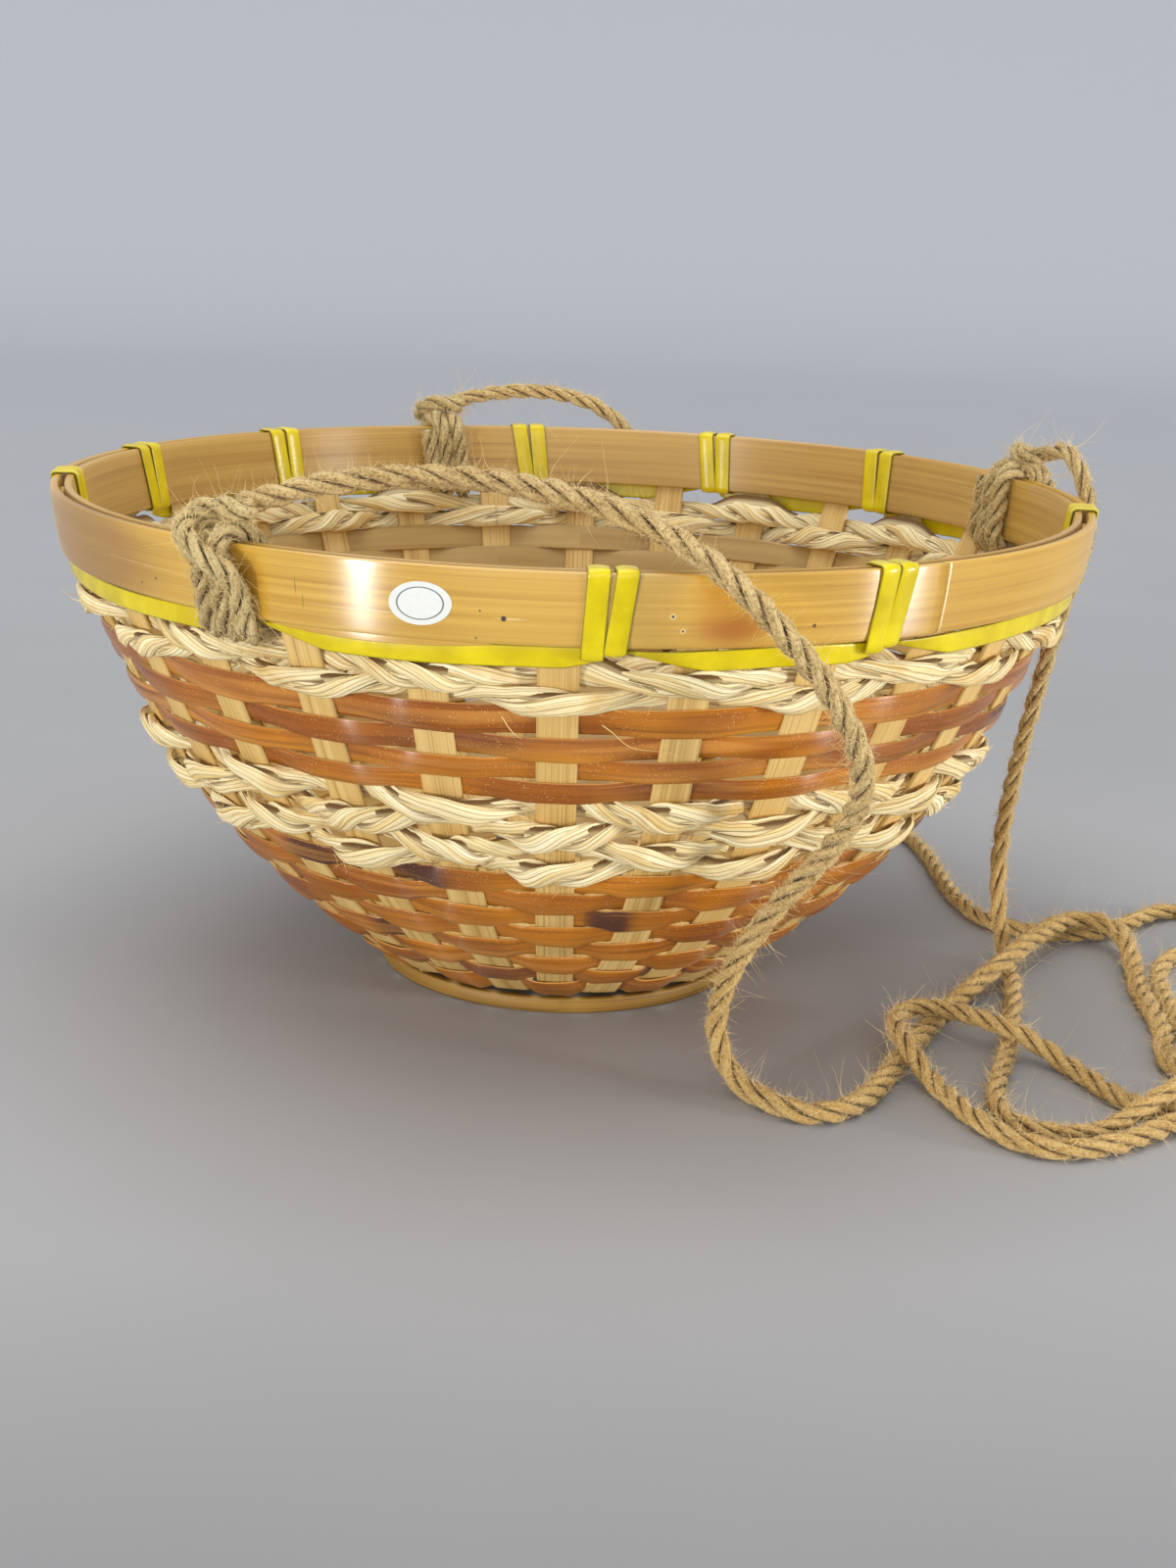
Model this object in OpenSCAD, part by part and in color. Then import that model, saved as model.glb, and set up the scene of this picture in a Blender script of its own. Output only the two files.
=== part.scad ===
// Round woven bamboo hanging basket with three rope hangers.
// Fourteen long splints cross in the base and turn up as twenty-eight stakes. Eighteen closed rows
// are woven round them, two hoops grip the stakes' ends, and a lashing strip ties the hoops.
// The origin is on the surface that the basket stands on, on the basket's axis. Millimetres, +Z up.

/* [Basket] */
// Outer diameter over the outer hoop, at its top edge
rim_d = 300; // [280:2:320]
// Height from the standing surface to the top of the hoops
basket_h = 145; // [138:1:152]
// Diameter of the base circle, where the splints turn up
base_d = 112; // [108:1:120]

/* [Wall curve] */
// Lean of the wall from upright, just below the hoops, in degrees
top_lean = 22.5; // [20:0.5:26]
// How far the upper wall keeps that lean
top_reach = 45; // [38:1:50]
// Rise of the wall from level, at the base circle, in degrees
base_rise = 34; // [30:1:38]
// How far the lower wall keeps that rise
base_reach = 65; // [58:1:70]

/* [Splints] */
// Width of a bamboo splint
splint_w = 10; // [8:0.2:10.4]
// Thickness of a bamboo splint
splint_t = 1.2; // [0.8:0.1:1.4]
// Spacing of the parallel splints across the base
base_pitch = 11.8; // [11.4:0.1:12]
// Play between a splint and whatever crosses it
weave_play = 0.25; // [0.15:0.05:0.4]

/* [Woven rows] */
// Height of the top pair of seagrass cords, along the wall, before the rows are fitted to it
cord_h = 5.4; // [4.6:0.2:6.2]
// Height of the middle band's seagrass cords, before fitting
middle_cord_h = 6.8; // [5.6:0.2:7.6]
// Depth of a seagrass cord, through the wall
cord_t = 4; // [3:0.2:4.6]
// Width of the first weaver strip below the top cords, before fitting
wide_weaver_w = 8.4; // [7:0.2:9.4]
// Width of the other upper weaver strips, before fitting
weaver_w = 6.6; // [5.4:0.2:7.6]
// Width of the first lower weaver strip, before fitting
lower_weaver_w = 7.6; // [6.4:0.2:8.6]
// How much wider each lower strip is than the one above it
lower_step = 0.4; // [0:0.05:0.5]
// Thickness of a weaver strip
weaver_t = 0.9; // [0.6:0.1:1.1]
// Gap between neighbouring rows
row_gap = 0.15; // [0.1:0.05:0.4]
// Open slot below the first weaver
slot_h = 0.6; // [0.2:0.1:2]
// Clear strip of wall between the last row and the base circle
foot_margin = 4; // [3:0.5:7]

/* [Hoops] */
// Height of the outer hoop
hoop_h = 18; // [15:0.5:20]
// Thickness of the outer hoop
hoop_t = 2.4; // [1.8:0.1:3]
// Thickness of the inner hoop
liner_t = 2.2; // [1.6:0.1:2.8]
// How far the inner hoop hangs below the outer one
liner_drop = 1; // [0:0.2:2]
// Lean of the hoops from upright, in degrees
hoop_lean = 8; // [4:0.5:12]
// Height of the step where the outer hoop's ends lap
lap_step = 0.8; // [0.4:0.1:1.2]
// Height of the foot ring
foot_h = 4.5; // [3.5:0.5:7]
// Thickness of the foot ring
foot_t = 3; // [2:0.2:4]

/* [Lashing] */
// Width of the lashing strip
lash_w = 5.4; // [4.5:0.1:5.8]
// Thickness of the lashing strip
lash_t = 0.6; // [0.4:0.1:0.9]
// Gap between the two turns of a lashing
lash_gap = 1.2; // [0.6:0.1:2]

/* [Ropes] */
// Diameter of the hanger rope
rope_d = 5; // [4:0.2:5.4]

/* [Hidden] */
$fn = 96;
SPLINTS = 7;       // each way
STAKES = 4 * SPLINTS;
stake_pitch = 360 / STAKES;
stake_turn = -1;   // degrees, turn of the whole set of stakes

// The hoops. u is the depth inward from the outer face, v the distance down from the top.
rim_r = rim_d / 2;
function rim_pt(u, v) = [rim_r - u - v * tan(hoop_lean), basket_h - v];
grip_play = 0.1;
stake_u = hoop_t + grip_play + splint_t / 2;         // middle of the stakes between the hoops
liner_u = hoop_t + 2 * grip_play + splint_t;         // outer face of the inner hoop
hoops_u = liner_u + liner_t;
hoops_v = hoop_h + liner_drop;
lash_play = 0.15;

// The wall's middle surface, a curve from the hoops down to the base circle, in [radius, height].
base_z = foot_h + grip_play + splint_t * 1.5 + weave_play;
wall_top = rim_pt(stake_u, hoop_h);
wall_foot = [base_d / 2, base_z];
top_handle = wall_top - top_reach * [sin(top_lean), cos(top_lean)];
foot_handle = wall_foot + base_reach * [cos(base_rise), sin(base_rise)];
function wall_curve(t) = pow(1 - t, 3) * wall_top + 3 * t * pow(1 - t, 2) * top_handle
    + 3 * t * t * (1 - t) * foot_handle + pow(t, 3) * wall_foot;
WALL_STEPS = 60;
wall_pts = [for (i = [0:WALL_STEPS]) wall_curve(i / WALL_STEPS)];
function run_to(i) = i == 0 ? 0 : run_to(i - 1) + norm(wall_pts[i] - wall_pts[i - 1]);
wall_runs = [for (i = [0:WALL_STEPS]) run_to(i)];
wall_length = wall_runs[WALL_STEPS];
wall_r_table = [for (i = [0:WALL_STEPS]) [wall_runs[i], wall_pts[i][0]]];
wall_z_table = [for (i = [0:WALL_STEPS]) [wall_runs[i], wall_pts[i][1]]];
function wall_at(s) = [lookup(s, wall_r_table), lookup(s, wall_z_table)];
// Unit vector down the wall at run s, and the one out of it, in [radius, height].
function wall_down(s) = let (d = wall_at(s + 1) - wall_at(s - 1)) d / norm(d);
function wall_out(s) = let (d = wall_down(s)) [-d[1], d[0]];

// The rows, from the top: name, width along the wall before fitting, thickness, extra gap above, kind.
CORD = 0;
STRIP = 1;
ROWS = concat(
    [for (k = [1:2]) [str("top_cord_", k), cord_h, cord_t, 0, CORD]],
    [["upper_weaver_1", wide_weaver_w, weaver_t, 0, STRIP]],
    [for (k = [2:4]) [str("upper_weaver_", k), weaver_w, weaver_t, k == 2 ? slot_h : 0, STRIP]],
    [for (k = [1:4]) [str("middle_cord_", k), middle_cord_h, cord_t, 0, CORD]],
    [for (k = [1:8]) [str("lower_weaver_", k), lower_weaver_w + (k - 1) * lower_step, weaver_t, 0, STRIP]]);
// Every sub-part, one node each.

// The rows are packed from below the ropes that pass under the hoops down to the foot margin, and
// share out what is left of the wall after the gaps, each by its own width.
rope_play = 0.5;
rows_start = liner_drop + lash_play + rope_d + rope_play;
function widths(k) = k == 0 ? 0 : widths(k - 1) + ROWS[k - 1][1];
function gaps(k) = k == 0 ? ROWS[0][3] : gaps(k - 1) + row_gap + ROWS[k][3];
LAST_ROW = len(ROWS) - 1;
row_fit = (wall_length - rows_start - foot_margin - gaps(LAST_ROW)) / widths(len(ROWS));
function row_width(k) = ROWS[k][1] * row_fit;
function row_run(k) = rows_start + gaps(k) + widths(k) * row_fit + row_width(k) / 2;

function stake_angle(i) = stake_turn + i * stake_pitch;
// A point at angle a (0 at the front, towards +X), radius r and height z.
function polar(a, r, z) = [r * sin(a), -r * cos(a), z];
function out_dir(a) = [sin(a), -cos(a), 0];

// A closed or open sweep through given rings of points.
module sweep(rings, closed) {
    n = len(rings);
    m = len(rings[0]);
    last = closed ? n - 1 : n - 2;
    sides = [for (i = [0:last], j = [0:m - 1])
        [i * m + j, i * m + (j + 1) % m, ((i + 1) % n) * m + (j + 1) % m, ((i + 1) % n) * m + j]];
    ends = closed ? [] : [[for (j = [m - 1:-1:0]) j], [for (j = [0:m - 1]) (n - 1) * m + j]];
    polyhedron([for (ring = rings) each ring], concat(sides, ends), convexity = 10);
}

// --- splints -------------------------------------------------------------------------------

base_wave = (splint_t + weave_play) / 2;             // over and under in the base
crossing_play = 0.05;
base_flat = splint_w / 2 + crossing_play;            // half of the level stretch over a crossing
WALL_KNOTS = 9;
FOOT_KNOTS = 2;                                      // the last ones, where a stake heads for its splint
foot_tilt = 17.5;                                    // degrees from level, where the splints turn up
stake_top_v = 1.5;                                   // the stakes end just below the hoops' tops

// Rectangular section at point p, width along w and thickness along n.
function strip_ring(p, w, n, width, thick) = [
    p - w * width / 2 - n * thick / 2, p + w * width / 2 - n * thick / 2,
    p + w * width / 2 + n * thick / 2, p - w * width / 2 + n * thick / 2];

// One end of a splint, from the hoops down to the base circle, at the wall angle a. The base run
// heads for angle b at the base circle, in the direction of base_a.
function stake_rings(a, b, base_a) = concat(
    [for (v = [stake_top_v, hoop_h]) let (q = rim_pt(stake_u, v))
        strip_ring(polar(a, q[0], q[1]), [cos(a), sin(a), 0],
                   out_dir(a) * cos(hoop_lean) - [0, 0, sin(hoop_lean)], splint_w, splint_t)],
    [for (i = [1:WALL_KNOTS]) let (
        s = wall_length * i / WALL_KNOTS, q = wall_at(s),
        o = i == WALL_KNOTS ? [sin(foot_tilt), -cos(foot_tilt)] : wall_out(s),
        turn = max(0, (i - WALL_KNOTS + FOOT_KNOTS) / FOOT_KNOTS),
        g = a + (b - a) * turn, f = g + (base_a - g) * turn / 2)
        strip_ring(polar(g, q[0], q[1]), [cos(f), sin(f), 0],
                   out_dir(f) * o[0] + [0, 0, o[1]], splint_w, splint_t)]);

// One long splint. set is 0 across (along X) or 1 along (along Y); k counts from 1.
module splint(set, k) {
    place = k - (SPLINTS + 1) / 2;
    offset = place * base_pitch;
    wall_a = place * stake_pitch;
    base_a = asin(offset / (base_d / 2));
    crossings = [for (j = [1:SPLINTS]) let (x = (j - (SPLINTS + 1) / 2) * base_pitch,
        up = ((j + k + set) % 2) * 2 - 1) each [[x - base_flat, up], [x + base_flat, up]]];
    base = [for (c = crossings)
        strip_ring([offset, c[0], base_z + c[1] * base_wave], [1, 0, 0], [0, 0, -1], splint_w, splint_t)];
    near = stake_rings(wall_a, base_a, 0);
    far = [for (ring = stake_rings(-wall_a, -base_a, 0)) [for (p = ring) [-p[0], -p[1], p[2]]]];
    far_back = [for (i = [len(far) - 1:-1:0]) [far[i][1], far[i][0], far[i][3], far[i][2]]];
    color("tan") rotate(stake_turn + 90 * set) sweep(concat(near, base, far_back), false);
}

// --- woven rows ----------------------------------------------------------------------------

CORD_SIDES = 6;
function cord_ring(p, w, n, width, thick) = [for (i = [0:CORD_SIDES - 1])
    let (c = 360 * i / CORD_SIDES) p - w * cos(c) * width / 2 + n * sin(c) * thick / 2];

module woven_row(k) {
    row = ROWS[k];
    s = row_run(k);
    q = wall_at(s);
    o = wall_out(s);
    d = wall_down(s);
    wave = (splint_t + row[2]) / 2 + weave_play;
    half = asin((splint_w / 2 + weave_play) / q[0]);
    rings = [for (i = [0:STAKES - 1], side = [-1, 1]) let (
        a = stake_angle(i) + side * half,
        out = ((i + k) % 2 == 1 ? 1 : -1) * wave,
        p = polar(a, (q[0] + out * o[0]) / cos(half), q[1] + out * o[1]),
        down = out_dir(a) * d[0] + [0, 0, d[1]],
        normal = out_dir(a) * o[0] + [0, 0, o[1]])
        row[4] == STRIP ? strip_ring(p, down, normal, row_width(k), row[2])
                        : cord_ring(p, down, normal, row_width(k), row[2])];
    color(row[4] == STRIP ? "sienna" : "wheat") sweep(rings, true);
}

// --- hoops ---------------------------------------------------------------------------------

lap_angle = 35.5;    // the outer hoop's outer end lies here, over its shaved inner end
lap_taper = 30;      // the shaving runs out over this angle
tail_from = -30;     // the inner end's tip dips below the outer end between these angles
tail_to = -6;
tail_dip = 1.8;
tail_t = 0.8;
tail_u = 0.7;        // depth of the tail behind the outer face
tail_root = 1;       // it is joined to the hoop this far up
tail_end_rise = 0.5; // its two ends stop this far above the hoop's lower edge
edge_round = 0.6;

// Section of a hoop from depth u0 to u1 and down from v0 to v1, its long edges eased.
function hoop_section(u0, u1, v0, v1) = let (e = min(edge_round, (u1 - u0) / 3)) [
    rim_pt(u0, v0 + e), rim_pt(u0 + e, v0), rim_pt(u1 - e, v0), rim_pt(u1, v0 + e),
    rim_pt(u1, v1 - e), rim_pt(u1 - e, v1), rim_pt(u0 + e, v1), rim_pt(u0, v1 - e)];

// Turns a section through an angle, starting at angle a from the front.
module part_turn(a, angle) {
    rotate(a - 90) rotate_extrude(angle = angle) children();
}

module outer_hoop() {
    TAPER_STEPS = 6;
    TAIL_STEPS = 6;
    color("peru") {
        part_turn(lap_angle + lap_taper, 360 - lap_taper) polygon(hoop_section(0, hoop_t, 0, hoop_h));
        sweep([for (i = [0:TAPER_STEPS]) let (a = lap_angle + lap_taper * i / TAPER_STEPS)
            [for (q = hoop_section(lap_step * (1 - i / TAPER_STEPS), hoop_t, 0, hoop_h))
                polar(a, q[0], q[1])]], false);
        sweep([for (i = [0:TAIL_STEPS]) let (
            a = tail_from + (tail_to - tail_from) * i / TAIL_STEPS,
            root = hoop_h - tail_root,
            dip = hoop_h + tail_dip * sin(180 * i / TAIL_STEPS) - (i % TAIL_STEPS == 0 ? tail_end_rise : 0))
            [for (q = [rim_pt(tail_u, root), rim_pt(tail_u + tail_t, root),
                       rim_pt(tail_u + tail_t, dip), rim_pt(tail_u, dip)]) polar(a, q[0], q[1])]], false);
    }
}

module inner_hoop() {
    color("burlywood") rotate_extrude() polygon(hoop_section(liner_u, hoops_u, 0, hoops_v));
}

module foot_ring() {
    r = base_d / 2;
    color("burlywood") rotate_extrude() polygon([
        [r - foot_t + edge_round, 0], [r - edge_round, 0], [r, edge_round],
        [r, foot_h - edge_round], [r - edge_round, foot_h],
        [r - foot_t + edge_round, foot_h], [r - foot_t, foot_h - edge_round], [r - foot_t, edge_round]]);
}

// --- lashing -------------------------------------------------------------------------------

// Angle of each lashing round the rim, every one between two stakes.
LASHINGS = [3.6, 31, 82.5, 134, 160, 187, 224, 250, 275];
// Angle of each rope hitch: right, back and left, in the middle between two stakes.
HITCHES = [8.5, 15.5, -2.5] * stake_pitch + [1, 1, 1] * stake_turn;
HITCH_STRANDS = 3;
top_turn_d = 1.5 * rope_d;                           // two plies of rope, pressed together
lash_half = lash_w + lash_gap / 2;                   // half of the width of a pair of turns
hitch_half = HITCH_STRANDS * rope_d / 2;

// Outline round both hoops, at the given distance from them.
function round_hoops(gap) = let (c = edge_round + gap * (2 - sqrt(2))) [
    rim_pt(-gap, -gap + c), rim_pt(-gap + c, -gap), rim_pt(hoops_u + gap - c, -gap),
    rim_pt(hoops_u + gap, -gap + c), rim_pt(hoops_u + gap, hoops_v + gap - c),
    rim_pt(hoops_u + gap - c, hoops_v + gap), rim_pt(-gap + c, hoops_v + gap),
    rim_pt(-gap, hoops_v + gap - c)];

// A closed turn round the hoops, centred at angle a.
module turn_round_hoops(a, width, thick) {
    angle = width / rim_r * 180 / PI;
    part_turn(a - angle / 2, angle) difference() {
        polygon(round_hoops(lash_play + thick));
        polygon(round_hoops(lash_play));
    }
}

module lashing_turns() {
    step = (lash_w + lash_gap) / 2 / rim_r * 180 / PI;
    color("gold") for (a = LASHINGS, side = [-1, 1])
        turn_round_hoops(a + side * step, lash_w, lash_t);
}

// The strip runs on below the outer hoop from one tie to the next.
ties = concat([for (a = LASHINGS) [a, lash_half]], [for (a = HITCHES) [(a + 360) % 360, hitch_half]]);
function sorted(list) = len(list) < 2 ? list : let (first = min([for (t = list) t[0]]))
    concat([for (t = list) if (t[0] == first) t], sorted([for (t = list) if (t[0] > first) t]));
tie_order = sorted(ties);
run_drop = 0.3;      // from the outer hoop's lower edge
run_top = hoop_h + run_drop;
run_end_play = 0.6;

module lashing_runs() {
    n = len(tie_order);
    depth = stake_u - splint_t / 2 - weave_play;
    color("gold") for (i = [0:n - 1]) {
        from = tie_order[i][0] + (tie_order[i][1] + run_end_play) / rim_r * 180 / PI;
        next = tie_order[(i + 1) % n];
        to = next[0] + (i == n - 1 ? 360 : 0) - (next[1] + run_end_play) / rim_r * 180 / PI;
        part_turn(from, to - from) polygon([
            rim_pt(depth - lash_t, run_top), rim_pt(depth, run_top),
            rim_pt(depth, run_top + lash_w), rim_pt(depth - lash_t, run_top + lash_w)]);
    }
}

// --- rope hangers --------------------------------------------------------------------------

// A hitch: strands round the hoops, and the turn of rope that lies on top of them.
module hitch(a) {
    top = rim_pt(hoops_u / 2, -lash_play - rope_d);
    end = 1;  // degrees that the top turn stands out past the strands
    strand = rope_d / rim_r * 180 / PI;
    span = HITCH_STRANDS * strand;
    color("darkkhaki") {
        turn_round_hoops(a, HITCH_STRANDS * rope_d, rope_d);
        part_turn(a - span / 2 - end, span + 2 * end) translate(top) circle(d = top_turn_d, $fn = 24);
    }
}

// Routes of the ropes, from the hitch to the knot. Points chosen where the rope bends.
LEFT_ROUTE = [
    [-79, -117, 153], [-57, -118, 159], [-33, -117, 161], [-10, -122, 160], [12, -134, 156],
    [30, -150, 149], [46, -158, 136], [62, -153, 116], [70, -142, 96], [67, -129, 78],
    [54, -114, 54], [44, -105, 32], [42, -101, 14], [46, -106, 5], [54, -116, 2.5],
    [65, -125, 2.5], [77, -119, 2.5], [96, -83, 2.5], [115, -46, 2.5], [136, -20, 8],
    [152, 4, 8.5], [159, 13, 8.2], [168, 17.5, 8], [176, 12, 8], [178, 1, 6],
    [174, -30, 2.5], [173, -58, 2.5], [168, -84, 3], [170, -102.5, 8.5]];
RIGHT_ROUTE = [
    [148, 43, 153], [151, 31, 156], [154, 20, 149], [156, 15, 134], [150, 15, 108],
    [138, 13, 38], [137, 4, 16], [138, -9, 3], [136, -30, 2.5],
    [126, -75, 2.5], [115, -121, 2.5], [125, -132, 2.5],
    [138, -130, 2.5], [149, -124, 6], [158, -118, 9], [167, -111.5, 10.5]];
BACK_ROUTE = [
    [-45, 147, 153], [-32, 150, 156], [-12, 152, 157], [8, 154, 152], [22, 158, 138],
    [30, 164, 104], [43, 171, 30], [54, 170, 7], [78, 163, 2.5], [107, 147, 2.5],
    [126, 122, 2.5], [133, 50, 2.5], [140, 28, 2.5], [153, 19, 2.5], [173, 20, 2.5],
    [202, 44, 2.5], [214, 43, 2.5], [220, 33, 2.5], [217, 21, 2.5], [206, 11, 2.5],
    [189, -4, 2.5], [182, -22, 2.5], [179, -70, 2.5], [182, -95, 8.5]];
LOOP_ROUTE = [
    [169, -114, 5.5], [160, -117.5, 3], [152, -114, 2.5], [146, -103, 2.5], [138, -86, 3],
    [127, -77, 7.7], [107, -61, 7.6], [98, -64, 7.7], [94, -73, 7.7], [95, -88, 7.3],
    [101, -105, 2.5], [110, -129, 2.5], [122, -141, 2.5], [140, -137, 2.5],
    [158, -124.5, 3], [172, -118.5, 5.5]];
ROPE_SIDES = 8;

function unit(v) = v / norm(v);
function along(route, i) = unit(route[min(i + 1, len(route) - 1)] - route[max(i - 1, 0)]);
// Round sections across the route, each carried on from the one before so that the tube never twists.
function carried(side, dir) = unit(side - dir * (side * dir));
function sides_of(route, i) = i == 0
    ? carried([0, 0, 1], along(route, 0))
    : carried(sides_of(route, i - 1), along(route, i));

module rope(route) {
    color("darkkhaki") sweep([for (i = [0:len(route) - 1]) let (
        dir = along(route, i), side = sides_of(route, i), other = cross(dir, side))
        [for (j = [0:ROPE_SIDES - 1]) let (c = 360 * (j + 0.5) / ROPE_SIDES)
            route[i] - rope_d / 2 * (side * cos(c) - other * sin(c))]], false);
}

KNOT_AT = [179, -107, 8.5];
KNOT_HALF_LENGTH = 4;
KNOT_TURN = -45;
module hanger_knot() {
    color("darkkhaki") translate(KNOT_AT) rotate([90, 0, KNOT_TURN]) {
        cylinder(h = 2 * KNOT_HALF_LENGTH, r = KNOT_AT[2], center = true, $fn = 32);
        for (side = [-1, 1]) translate([0, 0, side * KNOT_HALF_LENGTH])
            sphere(r = KNOT_AT[2], $fn = 32);
    }
}

for (k = [1:SPLINTS]) splint(0, k);
for (k = [1:SPLINTS]) splint(1, k);
for (k = [0:len(ROWS) - 1]) woven_row(k);
outer_hoop();
inner_hoop();
foot_ring();
lashing_turns();
lashing_runs();
hitch(HITCHES[0]);  // right_hitch
hitch(HITCHES[1]);  // back_hitch
hitch(HITCHES[2]);  // left_hitch
rope(LEFT_ROUTE);  // left_hanger
rope(RIGHT_ROUTE);  // right_hanger
rope(BACK_ROUTE);  // back_hanger
rope(LOOP_ROUTE);  // hanging_loop
hanger_knot();
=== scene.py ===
# %% [markdown]
# # A hanging basket of bamboo, seagrass and jute rope
# The basket is woven: stakes of split bamboo run up from a plaited base, and brown strips and
# seagrass cords pass in front of one stake and behind the next, round and round. Two bamboo
# hoops grip the top, a yellow strip lashes them, and three ropes hang the basket from a loop.
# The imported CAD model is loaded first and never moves. Every visible piece is then made
# finer than the CAD solid it stands for, in the same place.

import math
import random

import bmesh
import bpy
import numpy as np
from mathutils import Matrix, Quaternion, Vector


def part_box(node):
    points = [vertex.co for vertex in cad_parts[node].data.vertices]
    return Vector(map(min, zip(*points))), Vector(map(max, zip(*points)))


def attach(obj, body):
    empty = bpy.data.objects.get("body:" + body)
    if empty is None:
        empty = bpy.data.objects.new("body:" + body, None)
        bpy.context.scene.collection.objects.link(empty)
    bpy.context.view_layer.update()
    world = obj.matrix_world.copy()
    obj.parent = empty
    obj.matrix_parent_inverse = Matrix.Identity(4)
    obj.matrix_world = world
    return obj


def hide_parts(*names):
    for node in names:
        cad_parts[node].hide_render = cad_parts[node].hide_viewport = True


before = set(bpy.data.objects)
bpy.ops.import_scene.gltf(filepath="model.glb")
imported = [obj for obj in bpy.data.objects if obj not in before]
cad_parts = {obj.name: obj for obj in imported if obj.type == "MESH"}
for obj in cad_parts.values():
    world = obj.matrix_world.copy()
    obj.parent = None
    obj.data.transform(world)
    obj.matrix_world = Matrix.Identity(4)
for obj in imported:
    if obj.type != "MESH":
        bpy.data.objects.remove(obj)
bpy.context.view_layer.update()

# %% [markdown]
# ## Camera
# The camera stands a hand's breadth above the rim and looks down by some 16 degrees, so both
# the outside of the near wall and the inside of the far one show. The three turns are made in
# order: round the upright, down, and a slight roll about the line of sight.

# %% Camera
LOOK_DOWN, LOOK_RIGHT, ROLL = 15.91, 0.648, 2.034  # degrees

camera = bpy.data.objects.new("camera", bpy.data.cameras.new("camera"))
bpy.context.scene.collection.objects.link(camera)
camera.data.sensor_fit = "HORIZONTAL"
camera.data.sensor_width = 36
camera.data.lens = 63.51
camera.location = (0.0, -0.6113, 0.2272)
camera.rotation_mode = "QUATERNION"
camera.rotation_quaternion = (
    Quaternion((0, 0, 1), -math.radians(LOOK_RIGHT))
    @ Quaternion((1, 0, 0), math.radians(90 - LOOK_DOWN))
    @ Quaternion((0, 0, 1), math.radians(ROLL))
)
bpy.context.scene.camera = camera
bpy.context.scene.view_settings.view_transform = "Standard"
print("camera", camera.location[:], "lens", camera.data.lens)

# %% [markdown]
# ## Rope routes
# A rope is a fixed length of something limp. Its route was settled as a rigger would: out of
# its hitch on the rim, down under its own weight, and then over the floor in loose curves to the
# knot, over and under the others in turn. The points are the bends, in millimetres; a smooth
# curve goes through them, and a little averaging takes out any bend that is tighter than a rope
# of this kind would make.

# %% Rope routes
ROPE_D = 0.005
LIE = 0.0028  # the lowest that a rope's middle can lie
ROUTE_POINTS = {
    "left_hanger": [
        (-79, -117, 153), (-57, -118, 159), (-33, -117, 161), (-10, -122, 160), (12, -134, 156),
        (30, -150, 149), (46, -158, 136), (62, -153, 116), (70, -142, 96), (67, -129, 78),
        (54, -114, 54), (44, -105, 32), (42, -101, 14), (46, -106, 5), (54, -116, 2.5),
        (65, -125, 2.5), (77, -119, 2.5), (96, -83, 2.5), (115, -46, 2.5), (136, -20, 8),
        (152, 4, 8.5), (159, 13, 8.2), (168, 17.5, 8), (176, 12, 8), (178, 1, 6),
        (174, -30, 2.5), (173, -58, 2.5), (168, -84, 3), (170, -102.5, 8.5),
    ],
    "right_hanger": [
        (148, 43, 153), (151, 31, 156), (154, 20, 149), (156, 15, 134), (150, 15, 108),
        (138, 13, 38), (137, 4, 16), (138, -9, 3), (136, -30, 2.5), (126, -75, 2.5),
        (115, -121, 2.5), (125, -132, 2.5), (138, -130, 2.5), (149, -124, 6), (158, -118, 9),
        (167, -111.5, 10.5),
    ],
    "back_hanger": [
        (-45, 147, 153), (-32, 150, 156), (-12, 152, 157), (8, 154, 152), (22, 158, 138),
        (30, 164, 104), (43, 171, 30), (54, 170, 7), (78, 163, 2.5), (107, 147, 2.5),
        (126, 122, 2.5), (133, 50, 2.5), (140, 28, 2.5), (153, 19, 2.5), (173, 20, 2.5),
        (202, 44, 2.5), (214, 43, 2.5), (220, 33, 2.5), (217, 21, 2.5), (206, 11, 2.5),
        (189, -4, 2.5), (182, -22, 2.5), (179, -70, 2.5), (182, -95, 8.5),
    ],
    "hanging_loop": [
        (169, -114, 5.5), (160, -117.5, 3), (152, -114, 2.5), (146, -103, 2.5), (138, -86, 3),
        (127, -77, 7.7), (107, -61, 7.6), (98, -64, 7.7), (94, -73, 7.7), (95, -88, 7.3),
        (101, -105, 2.5), (110, -129, 2.5), (122, -141, 2.5), (140, -137, 2.5),
        (158, -124.5, 3), (172, -118.5, 5.5),
    ],
}


def run_of(line):
    """How far along a line each of its points is."""
    return np.concatenate([[0.0], np.cumsum(np.linalg.norm(np.diff(line, axis=0), axis=1))])


def read(values, at, places):
    """A list of points or directions, each at its place, read in between at other places."""
    return np.stack([np.interp(at, places, values[:, i]) for i in range(3)], axis=1)


def evenly(line, step):
    """The same line with its points an even step apart."""
    run = run_of(line)
    return read(line, np.linspace(0, run[-1], max(2, round(run[-1] / step) + 1)), run)


def curve_through(points):
    """A centripetal Catmull-Rom curve through the points, which never loops at a close pair."""
    p = np.array(points, float)
    p = np.vstack([2 * p[0] - p[1], p, 2 * p[-1] - p[-2]])
    t = np.concatenate([[0.0], np.cumsum(np.linalg.norm(np.diff(p, axis=0), axis=1) ** 0.5)])
    out = []
    for i in range(1, len(p) - 2):
        x = np.linspace(t[i], t[i + 1], 24, endpoint=False)[:, None]

        def mix(a, b, ta, tb):
            return (a * (tb - x) + b * (x - ta)) / (tb - ta)

        a1, a2, a3 = (mix(p[j - 1], p[j], t[j - 1], t[j]) for j in (i, i + 1, i + 2))
        b1, b2 = mix(a1, a2, t[i - 1], t[i + 1]), mix(a2, a3, t[i], t[i + 2])
        out.append(mix(b1, b2, t[i], t[i + 1]))
    return np.vstack([*out, p[-2]])


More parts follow.
